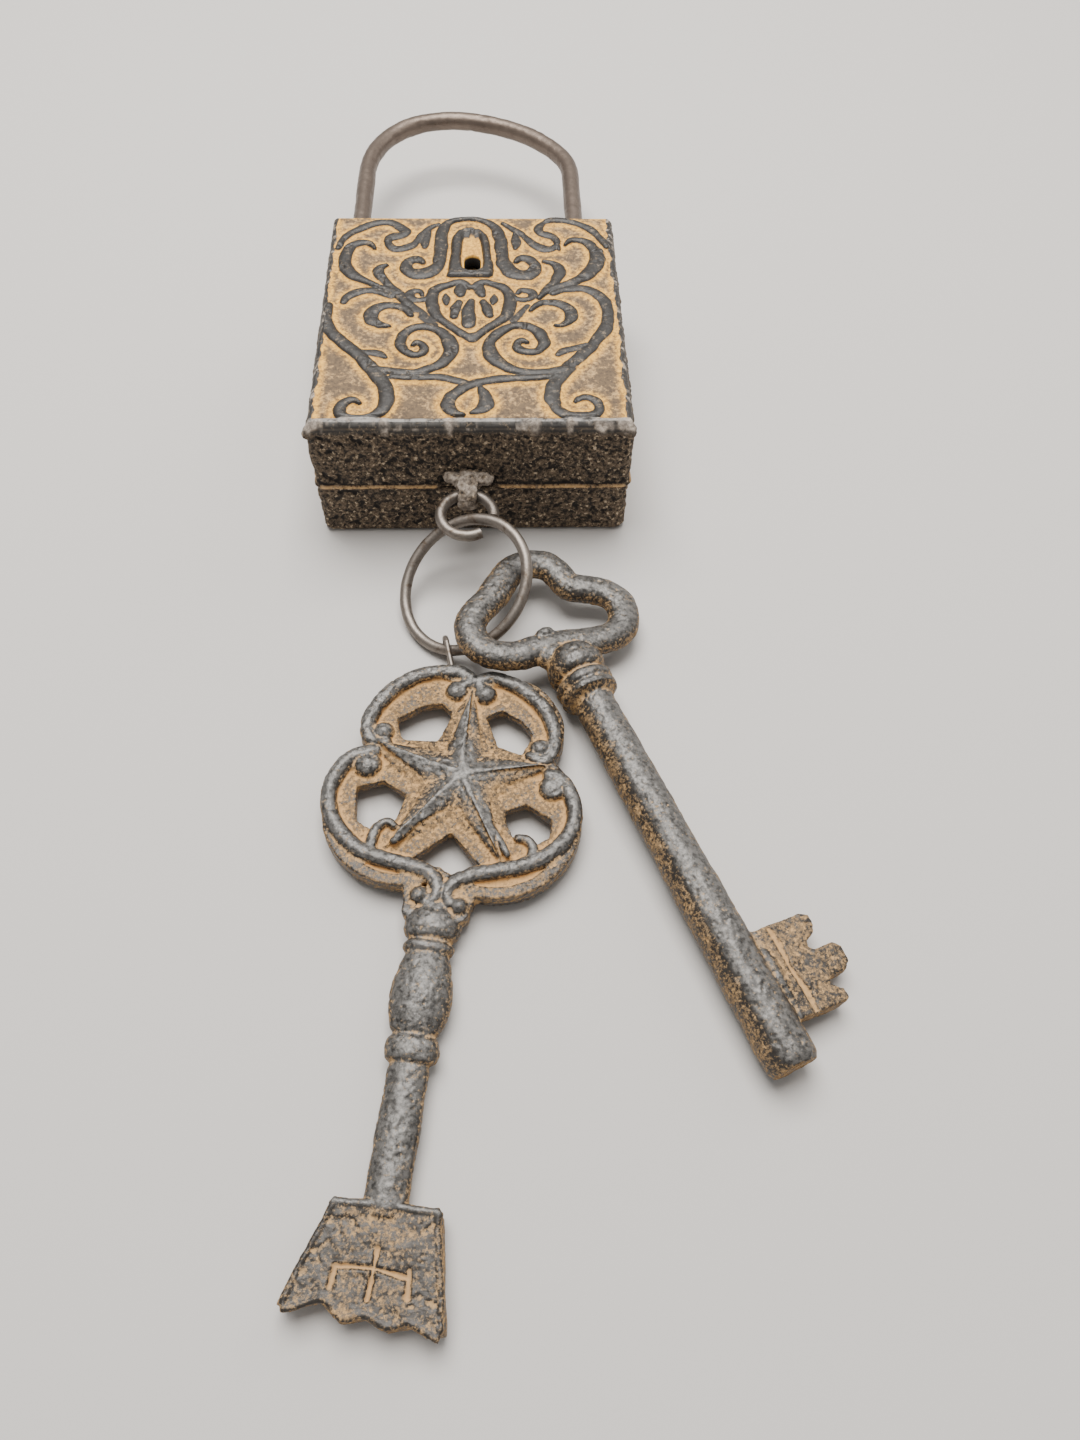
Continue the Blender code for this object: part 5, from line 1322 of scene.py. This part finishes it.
def key_iron():
    """Black iron with a painted sheen that turns its proud and upward-facing places pale, and grainy ochre
    on all that lies lower.
    """
    shade = Shade("key_black", 0.4)
    hollow, high = shade.attribute("hollow"), shade.attribute("high")
    fine, patch = shade.noise(0.8, 5.0, 0.75), shade.noise(5.0, 3.0, 0.6, 0.5)
    grit = shade.noise(0.7, 5.0, 0.75)
    dark = shade.mix(shade.noise(1.7, 5.0, 0.7), *KEY_DARK)
    # Painted sheen: pale grey where the high attribute, which follows upward-facing faces, is largest;
    # KEY_DARK is the iron away from it.
    pale = shade.mix(shade.between(shade.noise(1.1, 5.0, 0.7), 0.30, 0.66), *KEY_SHEEN)
    iron = shade.mix(shade.between(high, 0.72, 1.0), dark, pale)
    lit = shade.between(shade.add(fine, shade.scaled(hollow, 0.0, 0.9)), 0.46, 0.64)
    ochre = shade.mix(lit, shade.mix(grit, *KEY_BROWN), shade.mix(fine, *KEY_OCHRE))
    # Painted sheen: ochre turns greyish tan where the high attribute marks upward-facing places.
    ochre = shade.mix(shade.scaled(high, -0.1, 0.7), ochre, OCHRE_SHEEN_TAN)
    cover = shade.subtract(grit, shade.scaled(high, 0.0, 0.26))
    cover = shade.add(cover, shade.scaled(hollow, 0.0, 1.1))
    cover = shade.add(cover, shade.scaled(patch, -0.16, 0.12))
    cover = shade.between(cover, 0.29, 0.45)
    body = shade.mix(cover, iron, ochre)
    gloss = shade.mix(cover, shade.mix(fine, grey(0.27), grey(0.46)), grey(0.85))
    return shade.finish(body, gloss, fine, 0.6, 0.15)


def shackle_metal():
    """Brown worn iron with dark flecks, and rust in its pits."""
    shade = Shade("shackle_bronze", 0.75)
    fine, patch = shade.noise(0.8, 5.0, 0.7), shade.noise(7.0, 4.0, 0.65, 0.6)
    body = shade.mix(patch, *SHACKLE_BROWN)
    body = shade.mix(shade.between(fine, 0.58, 0.72), body, SHACKLE_PITS)
    rust = shade.between(shade.attribute("hollow"), 0.01, 0.06)
    body = shade.mix(rust, body, SHACKLE_RUST)
    gloss = shade.mix(fine, grey(0.30), grey(0.58))
    return shade.finish(body, gloss, shade.noise(0.6, 5.0, 0.7), 0.35, 0.10)


def plain_metal(name, low, high, rust, gloss):
    """A worn metal between two tones, with tarnish in patches and a fine grain."""
    shade = Shade(name, 0.9)
    fine, patch = shade.noise(0.5, 4.0, 0.7), shade.noise(3.5, 4.0, 0.65, 0.5)
    body = shade.mix(shade.between(patch, 0.50, 0.72), shade.mix(fine, low, high), rust)
    rough = shade.mix(patch, grey(gloss), grey(gloss + 0.25))
    return shade.finish(body, rough, shade.noise(0.35, 4.0, 0.7), 0.3, 0.05)


INSIDE = {
    "brass_works": ("lock_bolt", "key_cam", "cam_plate", "bolt_keeper", "ward_ring"),
    "spring_steel": ("detent_spring",),
    "bare_steel": ("heel_pin", "cam_pin", "cam_plate_screw_1", "cam_plate_screw_2", "keeper_screw_1",
                   "keeper_screw_2", "spring_screw", "case_screw_1", "case_screw_2", "case_screw_3",
                   "case_screw_4"),
}


def lock_work(metals):
    """The hidden works keep their CAD shapes and get real metals."""
    for slot, names in INSIDE.items():
        for name in names:
            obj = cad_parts[name]
            for place in range(len(obj.data.materials)):
                obj.data.materials[place] = metals[slot]


# The studio

FLOOR_SIZE = 6.0
FLOOR_COLOUR = (0.58, 0.565, 0.55, 1.0)
FLOOR_ROUGHNESS = 0.9
WORLD_COLOUR = (1.0, 0.97, 0.94, 1.0)
WORLD_STRENGTH = 0.40
LIGHT_COLOUR = (1.0, 0.965, 0.92)
LIGHT_AIM = Vector((0, -0.04, 0))
LIGHTS = (("window", (-0.06, 0.22, 0.90), 0.70, 20.0), ("fill", (0.75, 0.55, 0.65), 0.6, 2.7))
CAMERA_PLACE = Vector((7.737, -232.129, 202.306)) * MM
CAMERA_PITCH = radians(57.691)
CAMERA_YAW = radians(3.513)
CAMERA_ROLL = radians(2.204)
LENS = 25.299
SENSOR_WIDTH = 36.0


def studio():
    """A pale floor under the object, a soft sky and two area lights."""
    corners = np.array(((-1, -1, 0), (1, -1, 0), (1, 1, 0), (-1, 1, 0)))
    floor = quad_object("floor", corners * FLOOR_SIZE / 2, ((0, 1, 2, 3),))
    floor.location.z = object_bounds()[0][2]
    paper = bpy.data.materials.new("floor_paper")
    paper.use_nodes = True
    shader = paper.node_tree.nodes["Principled BSDF"]
    shader.inputs["Base Color"].default_value = FLOOR_COLOUR
    shader.inputs["Roughness"].default_value = FLOOR_ROUGHNESS
    floor.data.materials.append(paper)
    floor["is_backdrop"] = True
    world = bpy.data.worlds.new("studio")
    world.use_nodes = True
    sky = world.node_tree.nodes["Background"]
    sky.inputs["Color"].default_value = WORLD_COLOUR
    sky.inputs["Strength"].default_value = WORLD_STRENGTH
    bpy.context.scene.world = world
    for name, place, size, power in LIGHTS:
        light = bpy.data.lights.new(name, "AREA")
        light.energy = power
        light.size = size
        light.color = LIGHT_COLOUR
        lamp = add_object(name, light)
        lamp.location = place
        lamp.rotation_euler = (LIGHT_AIM - Vector(place)).to_track_quat("-Z", "Y").to_euler()


def camera():
    """Looks down at the lock from its foot, turned a little and rolled a little."""
    data = bpy.data.cameras.new("camera")
    data.sensor_width = SENSOR_WIDTH
    data.lens = LENS
    forward = Vector((sin(CAMERA_YAW) * cos(CAMERA_PITCH), cos(CAMERA_YAW) * cos(CAMERA_PITCH),
                      -sin(CAMERA_PITCH)))
    level = Vector((cos(CAMERA_YAW), -sin(CAMERA_YAW), 0.0))
    above = level.cross(forward)
    right = cos(CAMERA_ROLL) * level + sin(CAMERA_ROLL) * above
    up = -sin(CAMERA_ROLL) * level + cos(CAMERA_ROLL) * above
    turn = Matrix((right, up, -forward)).transposed().to_4x4()
    obj = add_object("camera", data)
    obj.matrix_world = Matrix.Translation(CAMERA_PLACE) @ turn
    bpy.context.scene.camera = obj


def main():
    iron = case_iron()
    front_case(iron)
    back_case(iron)
    shackle(shackle_metal())
    metals = {name: plain_metal(name, *tones) for name, tones in METALS.items()}
    rings(metals["bare_steel"])
    staple(metals["bare_steel"])
    key = key_iron()
    star_key(key)
    trefoil_key(key)
    lock_work(metals)
    studio()
    camera()


main()
